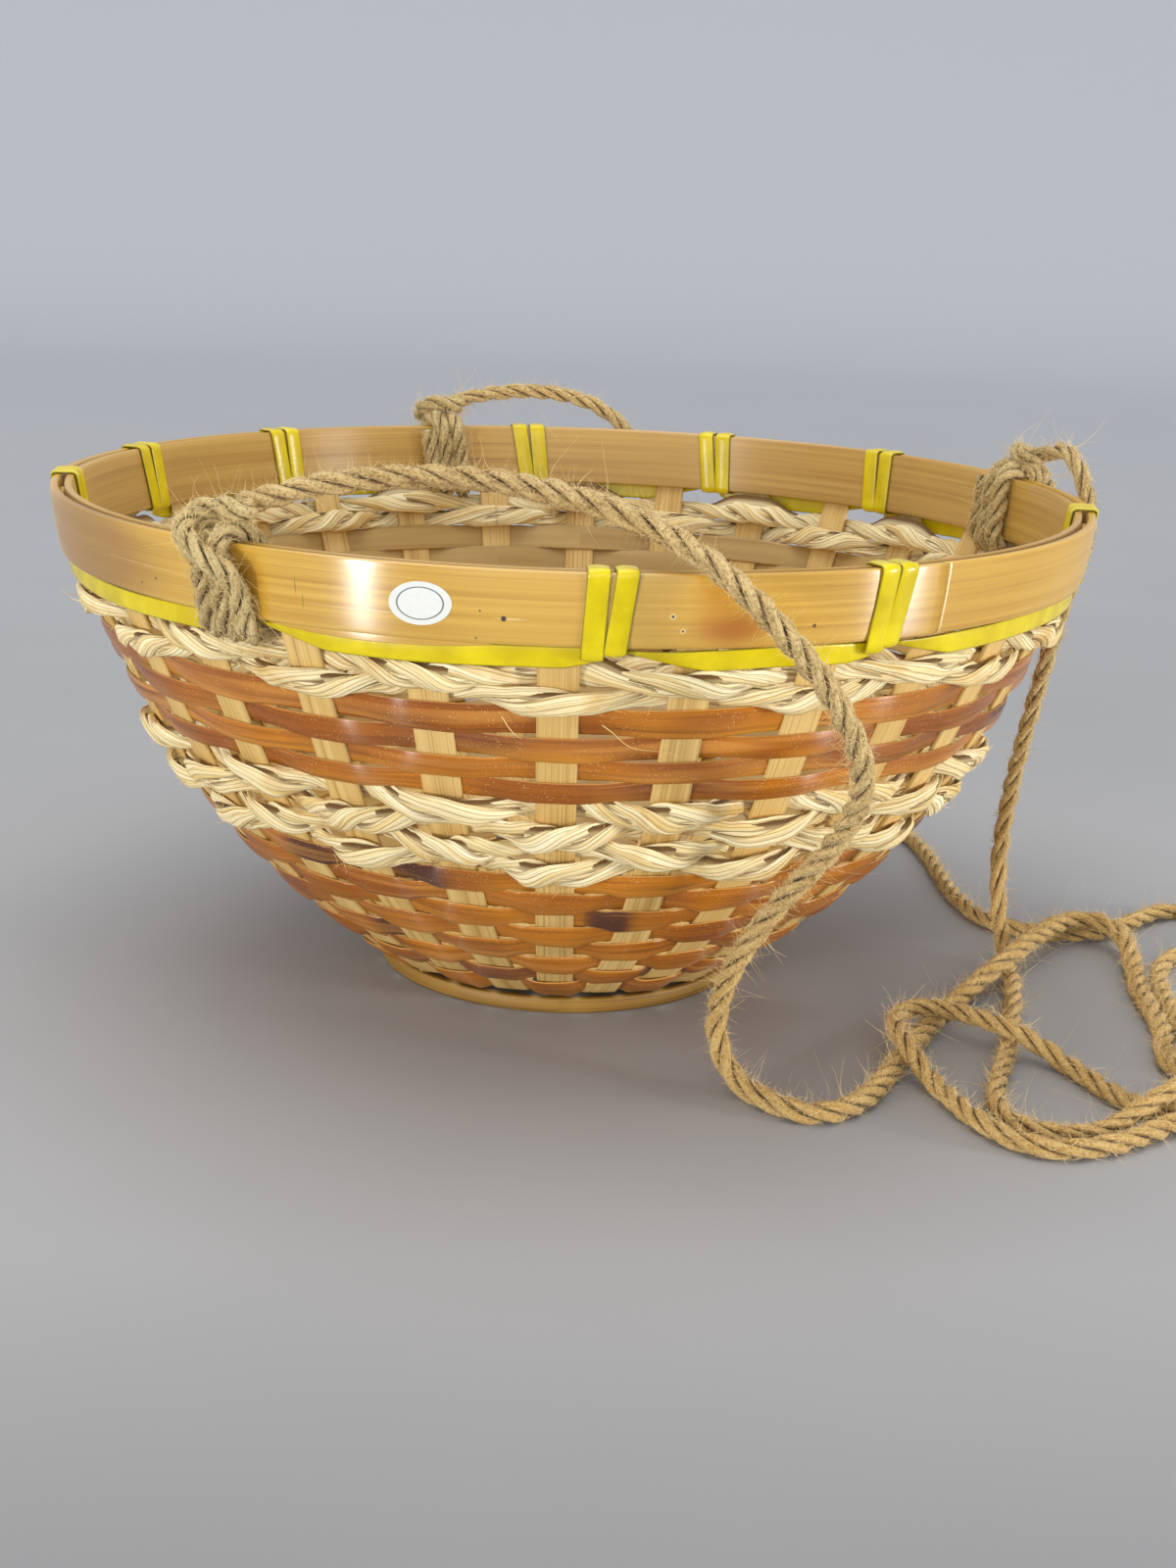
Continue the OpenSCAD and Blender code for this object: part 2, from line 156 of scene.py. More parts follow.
def averaged(padded, weights):
    """A list of points averaged over its neighbours, which is shorter by the weights' overhang."""
    return np.stack([np.convolve(padded[:, i], weights, "valid") for i in range(3)], axis=1)


def eased(line, step, reach):
    """Averages a line over a short reach, and holds its ends."""
    line = evenly(line, step)
    half = int(3 * reach / step)
    weights = np.exp(-0.5 * (np.arange(-half, half + 1) * step / reach) ** 2)
    before, after = 2 * line[0] - line[half:0:-1], 2 * line[-1] - line[-2:-half - 2:-1]
    return averaged(np.vstack([before, line, after]), weights / weights.sum())


ROUTES = {}
for rope_name, points in ROUTE_POINTS.items():
    line = eased(curve_through(np.array(points) / 1000), 0.001, 0.0035)
    line[:, 2] = np.maximum(line[:, 2], LIE)
    ROUTES[rope_name] = evenly(line, 0.001)
    print(rope_name, "length", round(float(run_of(ROUTES[rope_name])[-1]), 3))

# %% [markdown]
# ## Node helpers
# Every finish below is a small tree of shader nodes. A few short words make the nodes, set
# their sockets and link them. Colours are written as the 0 to 255 numbers of paint charts, and
# are turned into linear light, which Blender's sockets want. A finish is painted in layers from
# the bottom up: each layer is a colour and a mask that says where it lies and how thickly.

# %% Node helpers
def paint(red, green, blue):
    """A colour on the 0 to 255 scale, as the linear light that sockets want."""
    linear = [
        c / 12.92 if c <= 0.04045 else ((c + 0.055) / 1.055) ** 2.4
        for c in (red / 255, green / 255, blue / 255)
    ]
    return (*linear, 1.0)


class Nodes:
    """A tree of shader nodes, with a short word for each kind of step."""

    def __init__(self, tree):
        self.tree = tree

    def put(self, kind, inputs=None, **settings):
        """A new node's outputs; its inputs take numbers, colours or other nodes' sockets."""
        node = self.tree.nodes.new("ShaderNode" + kind)
        for key, value in settings.items():
            setattr(node, key, value)
        for key, value in (inputs or {}).items():
            if isinstance(value, bpy.types.NodeSocket):
                self.tree.links.new(value, node.inputs[key])
            else:
                node.inputs[key].default_value = value
        return node.outputs

    def calc(self, operation, *numbers):
        """The result of a sum on one or two numbers."""
        return self.put("Math", dict(enumerate(numbers)), operation=operation)[0]

    def times(self, a, b):
        return self.calc("MULTIPLY", a, b)

    def plus(self, a, b):
        return self.calc("ADD", a, b)

    def split(self, vector):
        """The three parts of a vector."""
        return self.put("SeparateXYZ", {0: vector})

    def noise(self, at, scale, detail):
        return self.put("TexNoise", {"Vector": at, "Scale": scale, "Detail": detail})[0]

    def spread(self, value, low, high, top=1.0, **settings):
        """Stretches the part of a value from low to high over 0 to top, and cuts off the rest."""
        return self.put("MapRange", {0: value, 1: low, 2: high, 4: top}, **settings)[0]

    def mix(self, mask, under, colour):
        """A colour that goes from the one under it to its own as the mask goes from 0 to 1."""
        both = [paint(*c) if type(c) is tuple and len(c) == 3 else c for c in (under, colour)]
        return self.put("Mix", {0: mask, 6: both[0], 7: both[1]}, data_type="RGBA")[2]


class Finish(Nodes):
    """A material that is painted in layers. The Principled shader's plain sockets are set by
    name."""

    def __init__(self, name, **sockets):
        self.material = bpy.data.materials.new(name)
        self.material.use_nodes = True
        super().__init__(self.material.node_tree)
        self.shader = self.tree.nodes["Principled BSDF"]
        self.colour = None
        for key, value in sockets.items():
            self.shader.inputs[key.replace("_", " ")].default_value = value

    def uv(self):
        """The piece's own UV map, across and along, in metres."""
        return self.put("UVMap", uv_map="UVMap")[0]

    def here(self):
        """The place in the object's own space."""
        return self.put("TexCoord")["Object"]

    def own(self, name):
        """A number that the mesh carries at each of its points."""
        return self.put("Attribute", attribute_name=name)["Fac"]

    def cloud(self, scale, detail):
        """An even noise through space."""
        return self.noise(self.here(), scale, detail)

    def grain(self, across, along, seed):
        """The fibre lines and streaks, so many to a metre across and along."""
        inputs = {"Vector": self.uv(), "Across": across, "Along": along, "Seed": seed}
        return self.put("Group", inputs, node_tree=fibres)

    def over(self, colour, mask, low=None, high=None, strength=1.0):
        """Lays a colour over what is there: nowhere the mask is at low, fully where at high."""
        if low is not None:
            mask = self.spread(mask, low, high)
        if strength < 1:
            mask = self.times(mask, strength)
        self.colour = self.mix(mask, self.colour, colour)

    def round_the_rim(self):
        """Turns the reflections' stretch to the way round the basket's upright."""
        tangent = self.put("Tangent", direction_type="RADIAL", axis="Z")
        self.tree.links.new(tangent[0], self.shader.inputs["Tangent"])

    def done(self, height=None, distance=0.0, strength=1.0):
        """Links the colour, and raises the surface by a height map over a real distance."""
        self.tree.links.new(self.colour, self.shader.inputs["Base Color"])
        if height is not None:
            inputs = {"Strength": strength, "Distance": distance, "Height": height}
            self.tree.links.new(self.put("Bump", inputs)[0], self.shader.inputs["Normal"])
        return self.material


print("honey in linear light", [round(x, 3) for x in paint(225, 175, 105)])

# %% [markdown]
# ## Fibre lines
# Bamboo, seagrass and jute are all bundles of long fibres, so they share one effect: fine lines
# that run along a piece. A noise texture becomes lines when its coordinates are stretched, many
# per metre across and few along. It reads the piece's own UV map, which is laid out in metres.

# %% Fibre group
def new_group(name, inputs, outputs):
    """An empty node group. Every input is a number but the first, a vector; it puts out masks."""
    tree = bpy.data.node_groups.new(name, "ShaderNodeTree")
    for socket in inputs:
        kind = "NodeSocketVector" if socket == "Vector" else "NodeSocketFloat"
        tree.interface.new_socket(socket, in_out="INPUT", socket_type=kind)
    for socket in outputs:
        tree.interface.new_socket(socket, in_out="OUTPUT", socket_type="NodeSocketFloat")
    given = tree.nodes.new("NodeGroupInput").outputs
    return tree, Nodes(tree), given, tree.nodes.new("NodeGroupOutput").inputs


fibres, n, given, made = new_group(
    "fibres", ["Vector", "Across", "Along", "Seed"], ["Lines", "Streaks"]
)
parts = n.split(given["Vector"])
across, along = n.times(parts[0], given["Across"]), n.times(parts[1], given["Along"])
fine_lines = n.put("CombineXYZ", {0: across, 1: along, 2: given["Seed"]})[0]
wide_streaks = n.put("VectorMath", {0: fine_lines, 1: (0.22, 0.5, 1.0)}, operation="MULTIPLY")[0]
for vector, detail, socket in ((fine_lines, 3.0, "Lines"), (wide_streaks, 2.0, "Streaks")):
    fibres.links.new(n.spread(n.noise(vector, 1.0, detail), 0.3, 0.7), made[socket])
print("fibre group with", len(fibres.nodes), "nodes")

# %% [markdown]
# ## Jute finish
# Jute is a matte, golden brown fibre. Each ply shows fine fibres laid at a slant, and is painted
# darker in the grooves between the plies than on its crowns: that darkening is painted shade.
# The mesh says how far out each point lies on its ply, so that the shader can paint the shade
# into the grooves at any light. A fine, even noise stands for the felt of short hairs that lies
# over the plies, and the rope is a warmer gold where it lies low and was never handled. A loose
# hair is paler than the rope.

# %% Jute finish
def jute_finish(name, deep, dark, light):
    """Twisted jute with painted groove shade in the deep colour and its crowns in the light one.
    """
    f = Finish(name, Roughness=0.9, Sheen_Weight=0.12, Specular_IOR_Level=0.2)
    strands = f.grain(3000.0, 160.0, 1.0)
    felt = f.cloud(1300.0, 4.0)
    f.colour = f.mix(strands["Streaks"], dark, light)
    f.over(light, f.cloud(45.0, 3.0), 0.4, 0.7, 0.6)
    f.over(f.mix(0.5, deep, dark), strands["Lines"], 0.5, 0.1, 0.6)
    f.over(f.mix(0.4, deep, dark), felt, 0.47, 0.34, 0.75)
    f.over(light, felt, 0.52, 0.66, 0.6)
    f.over((190, 142, 58), f.split(f.here())[2], 0.09, 0.03, 0.35)
    # Painted shade: the inner side of each ply, where the plies press together, goes to the deep
    # colour.
    f.colour = f.mix(f.spread(f.own("up"), -0.85, 0.1), deep, f.colour)
    return f.done(f.plus(strands["Lines"], felt), 0.00013)


def hair_finish(name, colour):
    """A loose fibre: pale and rough, without a bump."""
    f = Finish(name, Roughness=0.7)
    pale = tuple(min(1.0, 1.3 * c) for c in paint(*colour)[:3]) + (1.0,)
    f.colour = f.mix(f.cloud(400.0, 1.0), paint(*colour), pale)
    return f.done()


JUTE = jute_finish("jute", (84, 58, 26), (164, 132, 76), (218, 192, 136))
JUTE_GREY = jute_finish("jute_grey", (74, 54, 28), (158, 132, 80), (216, 194, 140))
JUTE_HAIR = hair_finish("jute_hair", (212, 186, 130))
print("jute finishes", JUTE.name, JUTE_GREY.name, JUTE_HAIR.name)

# %% [markdown]
# ## Skins
# A rope's ply, a woven strip and a hoop are all the same kind of shape: a section carried along
# a line. One helper makes them all. It creates a flat grid, one way round the section and the
# other way along the line, moves each point to its place, and merges the two edges that meet.
# The grid's own UVs are scaled to metres, and belong to its face corners, so the merged seam
# shows no jump. Each point also carries where it lies on the section, as the cosine and sine
# of its turn: "up" is 1 at a strip's top edge or at the outside of a rope's ply, and "out" is 1
# in the middle of a strip's face. The finishes read them to paint shade into grooves and along
# the lashing's edges.

# %% Skin helper
def add_skin(bm, around, along, place, across_size, along_size, slant=0.0, shift=0.0):
    """A closed section carried along a line. place takes two arrays, how far round the section
    and how far along, both from 0 to 1, and gives the points. Open ends are closed flat."""
    floats = bm.verts.layers.float
    marks = [floats.get(mark) or floats.new(mark) for mark in ("up", "out")]
    layer = bm.loops.layers.uv.get("UVMap") or bm.loops.layers.uv.new("UVMap")
    grid = bmesh.ops.create_grid(
        bm, x_segments=around, y_segments=along, size=0.5, calc_uvs=True
    )["verts"]
    flat = np.array([v.co for v in grid]) + 0.5
    faces = {f for v in grid for f in v.link_faces}
    for face in faces:
        face.smooth = True
        for loop in face.loops:
            u, v = loop[layer].uv
            v *= along_size
            loop[layer].uv = (u * across_size + slant * v + shift, v)
    turn = 2 * math.pi * flat[:, 0]
    points = place(flat[:, 0], flat[:, 1])
    for vert, point, *where in zip(grid, points, np.cos(turn), np.sin(turn)):
        vert.co = point
        for mark, value in zip(marks, where):
            vert[mark] = value
    bmesh.ops.remove_doubles(bm, verts=grid, dist=1e-6)
    rims = [e for f in faces if f.is_valid for e in f.edges if e.is_boundary]
    if rims:
        bmesh.ops.holes_fill(bm, edges=list(set(rims)), sides=0)
    return [v for v in grid if v.is_valid]


def mark_points(piece, name, values):
    """Puts a number on each of a mesh's points, for its finish to read."""
    attribute = piece.data.attributes.new(name, "FLOAT", "POINT")
    values = np.broadcast_to(values, len(piece.data.vertices))
    attribute.data.foreach_set("value", np.ascontiguousarray(values, np.float32))


def to_piece(name, bm, material, node=None, seed=None):
    """Makes the mesh a piece of the basket, in place of the CAD node named. The seed moves the
    finish's pattern, so that no two pieces are alike."""
    bmesh.ops.recalc_face_normals(bm, faces=bm.faces)
    mesh = bpy.data.meshes.new(name)
    bm.to_mesh(mesh)
    bm.free()
    piece = bpy.data.objects.new(name, mesh)
    bpy.context.scene.collection.objects.link(piece)
    mesh.materials.append(material)
    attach(piece, "root")
    if node:
        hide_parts(node)
    if seed is not None:
        mark_points(piece, "seed", seed)
    print(name, len(mesh.polygons), "faces")
    return piece


print("skin helper ready")

# %% [markdown]
# ## Laying plies into a rope
# A laid rope is three plies twisted round each other. Each ply is a skin whose middle line winds
# round the rope's own line, a third of a turn from the next. The rope's line needs a frame, a
# pair of directions across it; each is carried on from the one before, so that the frame never
# spins of itself. A row of seagrass is made the same way from two plies, with the frame of the
# wall it lies on.

# %% Plies
LAY = 0.024  # one whole turn of a ply
ROPE_REACH, ROPE_PLY = 0.0015, 0.00134
ROPE_R = ROPE_REACH + ROPE_PLY


def frame_along(line):
    """Two unit directions across a line at each point, carried along it without twisting."""
    heading = np.gradient(line, axis=0)
    heading /= np.linalg.norm(heading, axis=1)[:, None]
    start = np.array([0.0, 0.0, 1.0]) if abs(heading[0][2]) < 0.8 else np.array([1.0, 0.0, 0.0])
    side = np.zeros_like(line)
    for i, way in enumerate(heading):
        start = start - way * start.dot(way)
        start /= np.linalg.norm(start)
        side[i] = start
    return side, np.cross(heading, side)


def twist_plies(bm, line, side, other, turns, plies, reach, ply_size, steps, around=20,
                slant=0.39, lobes=6, ridge=0.06, seed=0.0, grow=1.0, fill=0.0):
    """Adds twisted plies round a line. reach and ply_size are each (along side, along other);
    turns is how far the twist has gone at each point. A ply is a bundle of fibres, so its
    section is lobed. grow scales it along side, and fill widens the plies where they cross."""
    spot = np.linspace(0, 1, len(line))
    run = run_of(line)
    grow = np.broadcast_to(grow, len(line))
    ply_round = 2 * math.pi * max(ply_size)
    for k in range(plies):
        def place(a, t, k=k):
            middle, s, o = (read(way, t, spot) for way in (line, side, other))
            phase = 2 * math.pi * (np.interp(t, spot, turns) + k / plies)
            c = 2 * math.pi * a + phase
            far = np.interp(t, spot, run)
            bundle = 2 * math.pi * (a + slant * far / ply_round)
            size = (
                1 + ridge * np.cos(lobes * bundle + k + seed)
                + 0.6 * ridge * np.cos(3 * bundle + 210 * far + 2 * k + seed)
                + 0.05 * np.sin(far * 410 + 2 * k + seed) + 0.06 * np.sin(far * 163 + 4 * k + seed)
            )
            wide = ply_size[0] * (1 + fill * np.sin(phase) ** 2)
            x = reach[0] * np.cos(phase) + wide * size * np.cos(c)
            y = reach[1] * np.sin(phase) + ply_size[1] * size * np.sin(c)
            return middle + s * (x * np.interp(t, spot, grow))[:, None] + o * y[:, None]

        shift = ((k + seed) / (2 * math.pi) + 11 * k) * ply_round / lobes
        add_skin(bm, around, steps, place, ply_round, run[-1], slant, shift)


def lay_rope(bm, line, lay=LAY, seed=0.0, size=1.0):
    """Adds a three-ply rope along a line."""
    run = run_of(line)
    turns = run / lay + 0.07 * np.sin(run * 90 + seed) + 0.12 * np.sin(run * 31 + 2 * seed)
    twist_plies(
        bm, line, *frame_along(line), turns, 3, (ROPE_REACH * size,) * 2, (ROPE_PLY * size,) * 2,
        steps=max(8, round(run[-1] / 0.0011)), seed=seed,
    )


# %% [markdown]
# ## Loose fibres
# Jute is hairy: short fibres stand off it everywhere, and a few long ones curl away. Each hair
# is a three-sided tube of a few faces, because there are thousands. It starts on the rope,
# heads outwards and along, and bends as it goes. All the hairs of a piece are cut from one
# grid: every few rows of it become one tube, and the faces that join two tubes are deleted.
# The random numbers are seeded, so that every run grows the same hairs.

# %% Hairs
def add_hairs(bm, hairs, steps):
    """Fine tapering fibres. A hair is (start, heading, bend, length, thickness)."""
    rows = len(hairs) * (steps + 1)
    grid = bmesh.ops.create_grid(
        bm, x_segments=3, y_segments=rows - 1, size=0.5, calc_uvs=False
    )["verts"]
    flat = np.array([v.co for v in grid]) + 0.5
    row = np.round(flat[:, 1] * (rows - 1)).astype(int)
    which, t = row // (steps + 1), (row % (steps + 1) / steps)[:, None]
    start, heading, bend, length, thick = (
        np.array([hair[i] for hair in hairs], float)[which] for i in range(5)
    )
    length, thick, c = length[:, None], thick[:, None], 2 * math.pi * flat[:, :1]
    side = np.cross(heading, bend)
    side /= np.linalg.norm(side, axis=1)[:, None]
    other = np.cross(heading, side)
    points = start + length * (heading * t + bend * t * t)
    waves = side * np.sin(7 * t + start[:, :1] * 900) + other * np.sin(5 * t)
    points += 0.12 * length * t * waves
    points += thick * (1 - 0.7 * t) * (side * np.cos(c) + other * np.sin(c))
    hair_of = {}
    for vert, point, number in zip(grid, points, which):
        vert.co = point
        hair_of[vert] = number
    faces = {f for v in grid for f in v.link_faces}
    joins = [f for f in faces if len({hair_of[v] for v in f.verts}) > 1]
    bmesh.ops.delete(bm, geom=joins, context="FACES")
    bmesh.ops.remove_doubles(bm, verts=[v for v in grid if v.is_valid], dist=1e-7)


def grow_hairs(bm, line, count, seed, reach, lengths, thick, curl, along, steps, outwards=None):
    """Adds hairs that stand off a rope's line, none of them below the floor."""
    rng = random.Random(seed)
    side, other = frame_along(line)
    hairs = []
    for _ in range(count):
        i = rng.randrange(2, len(line) - 2)
        angle = rng.uniform(0, 2 * math.pi)
        out = side[i] * math.cos(angle) + other[i] * math.sin(angle)
        way = (line[i + 1] - line[i - 1]) * rng.choice((-1, 1))
        way /= np.linalg.norm(way)
        heading = out * rng.uniform(0.25, 1.0) + way * rng.uniform(along * 0.5, along * 2)
        heading /= np.linalg.norm(heading)
        bend = np.array([rng.uniform(-1, 1) for _ in range(3)]) * curl
        bend -= heading * bend.dot(heading)
        length = rng.uniform(*lengths) * rng.choice((0.6, 1, 1, 1.5))
        start = line[i] + out * reach * 0.88
        low = min((start + length * (heading * t + bend * t * t))[2] for t in (0.0, 0.5, 1.0))
        if low < 0.0002 or (outwards is not None and out.dot(outwards[i]) < -0.2):
            continue
        hairs.append((start, heading, bend, length, thick * rng.uniform(0.7, 1.2)))
    add_hairs(bm, hairs, steps)


def fuzz_on(name, line, per_metre, seed):
    """A rope's fuzz as one piece: mostly short fine fibres, some that curl, and a few long
    loose ones that hang in wide loops."""
    count = per_metre * float(run_of(line)[-1])
    bm = bmesh.new()
    for share, lengths, thick, curl, steps in (
        (1.0, (0.0008, 0.0024), 0.00008, 1.4, 2),
        (0.09, (0.0020, 0.0040), 0.0001, 2.4, 6),
        (0.007, (0.0040, 0.0066), 0.0001, 2.6, 10),
    ):
        grow_hairs(
            bm, line, round(share * count), seed + steps, ROPE_R, lengths, thick, curl, 1.3, steps
        )
    return to_piece(name, bm, JUTE_HAIR)


# %% [markdown]
# ## The hangers and the loop
# With the routes, the plies and the hairs in hand, the four ropes are made. Each ends just
# outside the knot, and the knot's own ropes lead on into it from there.

# %% Ropes
ropes, rope_hairs = {}, {}
ROPE_LOOKS = [(1.08, 14000), (0.92, 9000), (0.94, 8000), (0.98, 10000)]  # size, hairs a metre
for number, ((rope_name, line), (size, dense)) in enumerate(zip(ROUTES.items(), ROPE_LOOKS)):
    bm = bmesh.new()
    lay_rope(bm, line, seed=1.7 * number, size=size)
    ropes[rope_name] = to_piece(rope_name + "_rope", bm, JUTE, rope_name)
    rope_hairs[rope_name] = fuzz_on(rope_name + "_fibres", line, dense, 11 + 2 * number)

# %% [markdown]
# ## The rim's own coordinates
# Everything at the top is placed by three numbers: the angle round the rim, nought at the front
# and growing to the right; the depth inward from the outer hoop's face; and the distance down
# from its top edge. The hoops lean out by 8 degrees, so the radius shrinks on the way down.

# %% Rim
hoop_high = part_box("outer_hoop")[1]
RIM_R, RIM_Z = round(hoop_high.x, 4), round(hoop_high.z, 4)
HOOP_LEAN = math.radians(8)
HOOP_H, HOOP_T, LINER_T, LINER_DROP = 0.018, 0.0024, 0.0022, 0.001
SPLINT_W, SPLINT_T, PLAY, GRIP = 0.010, 0.0012, 0.00025, 0.0001
STAKE_DEPTH = HOOP_T + GRIP + SPLINT_T / 2
LINER_DEPTH = HOOP_T + 2 * GRIP + SPLINT_T
HOOPS_DEPTH = LINER_DEPTH + LINER_T
HOOPS_H = HOOP_H + LINER_DROP
STAKES, STAKE_TURN = 28, -1
STAKE_PITCH = 360 / STAKES


def rim_rz(depth, down):
    """Radius and height of a place in the rim."""
    return RIM_R - depth - down * math.tan(HOOP_LEAN), RIM_Z - down


def polar(angle, radius, height):
    """Points at an angle in degrees round the basket, nought at the front."""
    a = np.radians(angle)
    return np.stack(np.broadcast_arrays(radius * np.sin(a), -radius * np.cos(a), height), axis=-1)


def rim_point(angle, depth, down):
    """A point of the rim."""
    return polar(angle, *rim_rz(depth, down))


def round_rim(length):
    """How many degrees a length takes up round the rim."""
    return np.degrees(length / RIM_R)


# Each hitch: the hanger tied there, its angle, and 1 where it leaves towards larger angles.
HITCHES = {
    "left_hitch": ("left_hanger", -2.5 * STAKE_PITCH - 1, 1),
    "right_hitch": ("right_hanger", 8.5 * STAKE_PITCH - 1, -1),
    "back_hitch": ("back_hanger", 15.5 * STAKE_PITCH - 1, -1),
}
print("rim radius", RIM_R, "height", RIM_Z)

# %% [markdown]
# ## Hitches
# Each hanger is tied to the rim. The rope lies along the top of the hoops as a knuckle, crosses
# in front of its own turns, dives down outside the hoops and comes up inside, and goes round
# twice more; its short end is pinched inside. It is one piece of rope on one line, so it is
# laid just as the hangers are. The line is made from a few points in the rim's coordinates:
# a shift to the side in ropes' widths, a depth and a distance down.

# %% Hitches
GAP = 0.0029  # from the hoops' faces to the middle of the rope
SIDE_BY_SIDE = 0.0056  # a rope's width where turns lie beside each other
BACK = HOOPS_DEPTH + GAP
KNUCKLE = [
    (0.7, 0.0038, -0.0072), (-0.3, 0.0030, -0.0080), (-1.2, 0.0002, -0.0074),
    (-1.45, -0.0046, -0.0044), (-0.9, -0.0078, -0.0012), (-0.1, -0.0084, 0.0018),
    (0.7, -0.0068, 0.0054), (1.0, -0.0040, 0.0100), (1.02, -GAP, 0.0150),
]
TURN = [
    (0.00, -GAP, -0.0008), (0.00, -GAP - 0.0003, 0.005), (0.00, -GAP - 0.0003, 0.013),
    (-0.02, -GAP + 0.0002, HOOPS_H - 0.0005), (-0.10, 0.0005, HOOPS_H + GAP),
    (-0.25, HOOPS_DEPTH - 0.0005, HOOPS_H + GAP), (-0.40, BACK, HOOPS_H - 0.0005),
    (-0.55, BACK, 0.009), (-0.75, BACK, 0.0005), (-0.90, HOOPS_DEPTH - 0.001, -GAP),
    (-1.00, 0.001, -GAP),
]
# The first turn begins where the knuckle ends, and the last one stops inside.
HITCH_BENDS = KNUCKLE + [
    (1.02 - turn + share, depth, down)
    for turn, part in enumerate((TURN[3:], TURN, TURN[:9])) for share, depth, down in part
]
for hitch_name, (rope_name, angle, way) in HITCHES.items():
    points = [ROUTES[rope_name][0]] + [
        rim_point(angle + way * share * round_rim(SIDE_BY_SIDE), depth, down)
        for share, depth, down in HITCH_BENDS
    ]
    line = evenly(eased(curve_through(points), 0.0008, 0.0014), 0.001)
    bm = bmesh.new()
    lay_rope(bm, line, lay=0.019, seed=5.0 + angle)
    to_piece(hitch_name + "_rope", bm, JUTE_GREY, hitch_name)
    fuzz_on(hitch_name + "_fibres", line, 17000, 40 + round(angle))

# %% [markdown]
# ## The knot
# The three hangers and both ends of the loop meet in one overhand knot, tied with the whole
# bunch. From outside it is a fat bead of rope: turns wound round the bunch, with one part
# crossing over the others. The turns are ropes on winding lines, a rope's width apart, and each
# rope runs on from where its own piece ends into the middle of the knot.

# %% Knot
KNOT_AT = np.array([0.179, -0.107, 0.0085])
KNOT_WAY = np.array([1.0, 1.0, 0.0]) / math.sqrt(2)
KNOT_SIDE = np.array([1.0, -1.0, 0.0]) / math.sqrt(2)
KNOT_ROPE = {"lay": 0.018, "size": 0.92}  # pulled tight, so thinner and laid closer


def knot_point(far, angle, radius):
    """A point at a distance along the knot, and round it in degrees, nought at the top."""
    a = math.radians(angle)
    out = np.array([0.0, 0.0, math.cos(a)]) + KNOT_SIDE * math.sin(a)
    return KNOT_AT + KNOT_WAY * far + radius * out


def into_knot(end, before):
    """A rope's way on from its end into the middle of the knot."""
    return [before, end] + [KNOT_AT + share * (end - KNOT_AT) for share in (0.65, 0.35, 0.1)]


def crossing(part):
    """The part that crosses over the turns, and bulges a little as it does."""
    bulge = 0.0009 * math.sin(math.pi * part)
    return knot_point(0.0075 - 0.0145 * part, 100 - 250 * part, 0.0050 + bulge)


def straight(around):
    """One rope of the bunch, straight through the knot's middle."""
    return [knot_point(-0.006 + 0.0155 * i / 8, around, 0.0022) for i in range(9)]


loop = ROUTES["hanging_loop"]
knot_lines = [
    evenly(curve_through(points), 0.0008)
    for points in (
        [knot_point(-0.0060 + 0.0120 * i / 32, -40 + 920 * i / 32, 0.0056) for i in range(33)],
        [crossing(i / 12) for i in range(13)],
        straight(60), straight(180), straight(300),
        *(into_knot(line[-1], line[-3]) for line in ROUTES.values()),
        into_knot(loop[0], loop[2]),
    )
]
bm = bmesh.new()
for number, line in enumerate(knot_lines):
    lay_rope(bm, line, seed=3.1 * number, **KNOT_ROPE)
knot = to_piece("knot_rope", bm, JUTE, "hanger_knot")
knot_fibres = fuzz_on("knot_fibres", knot_lines[0], 12000, 77)

# %% [markdown]
# ## The cords
# Each rope's route line is looked up in turn, and the ropes are counted.

# %% Cords
for rope_name, rope in ropes.items():
    line = ROUTES[rope_name]
print("declared", len(ropes), "cords")

# %% [markdown]
# ## The wall's curve
# The wall is one smooth curve from under the hoops to the base circle, turned round the axis.
# A cubic Bezier gives it: steep at the top, then rounding in under the basket. Rows and stakes
# are both placed by how far down this curve they lie.

# %% Wall
foot_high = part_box("foot_ring")[1]
FOOT_R, FOOT_H = round(foot_high.x, 4), round(foot_high.z, 4)
BASE_Z = FOOT_H + GRIP + 1.5 * SPLINT_T + PLAY
TOP_LEAN, TOP_REACH = math.radians(22.5), 0.045
BASE_RISE, BASE_REACH = math.radians(34), 0.065
wall_top = np.array(rim_rz(STAKE_DEPTH, HOOP_H))
wall_foot = np.array([FOOT_R, BASE_Z])
top_handle = wall_top - TOP_REACH * np.array([math.sin(TOP_LEAN), math.cos(TOP_LEAN)])
foot_handle = wall_foot + BASE_REACH * np.array([math.cos(BASE_RISE), math.sin(BASE_RISE)])
s = np.linspace(0, 1, 200)[:, None]
wall_curve = (
    (1 - s) ** 3 * wall_top + 3 * s * (1 - s) ** 2 * top_handle
    + 3 * s**2 * (1 - s) * foot_handle + s**3 * wall_foot
)
wall_run = run_of(wall_curve)
WALL_LENGTH = float(wall_run[-1])


def wall_at(run):
    """Radius and height of the wall's middle at a distance down it."""
    return np.interp(run, wall_run, wall_curve[:, 0]), np.interp(run, wall_run, wall_curve[:, 1])


def wall_down(run):
    """The direction down the wall there, as (radius, height)."""
    r0, z0 = wall_at(np.asarray(run) - 0.001)
    r1, z1 = wall_at(np.asarray(run) + 0.001)
    size = np.hypot(r1 - r0, z1 - z0)
    return (r1 - r0) / size, (z1 - z0) / size


print("wall length", round(WALL_LENGTH, 4), "base height", round(BASE_Z, 5))

# %% [markdown]
# ## Split bamboo finish
# The stakes are split from the inside of a bamboo stem: pale straw colour, with close straight
# lines where the fibres were torn, a little darker in some stakes than in others. A number on
# each mesh, its seed, moves the pattern so that no two stakes are alike.

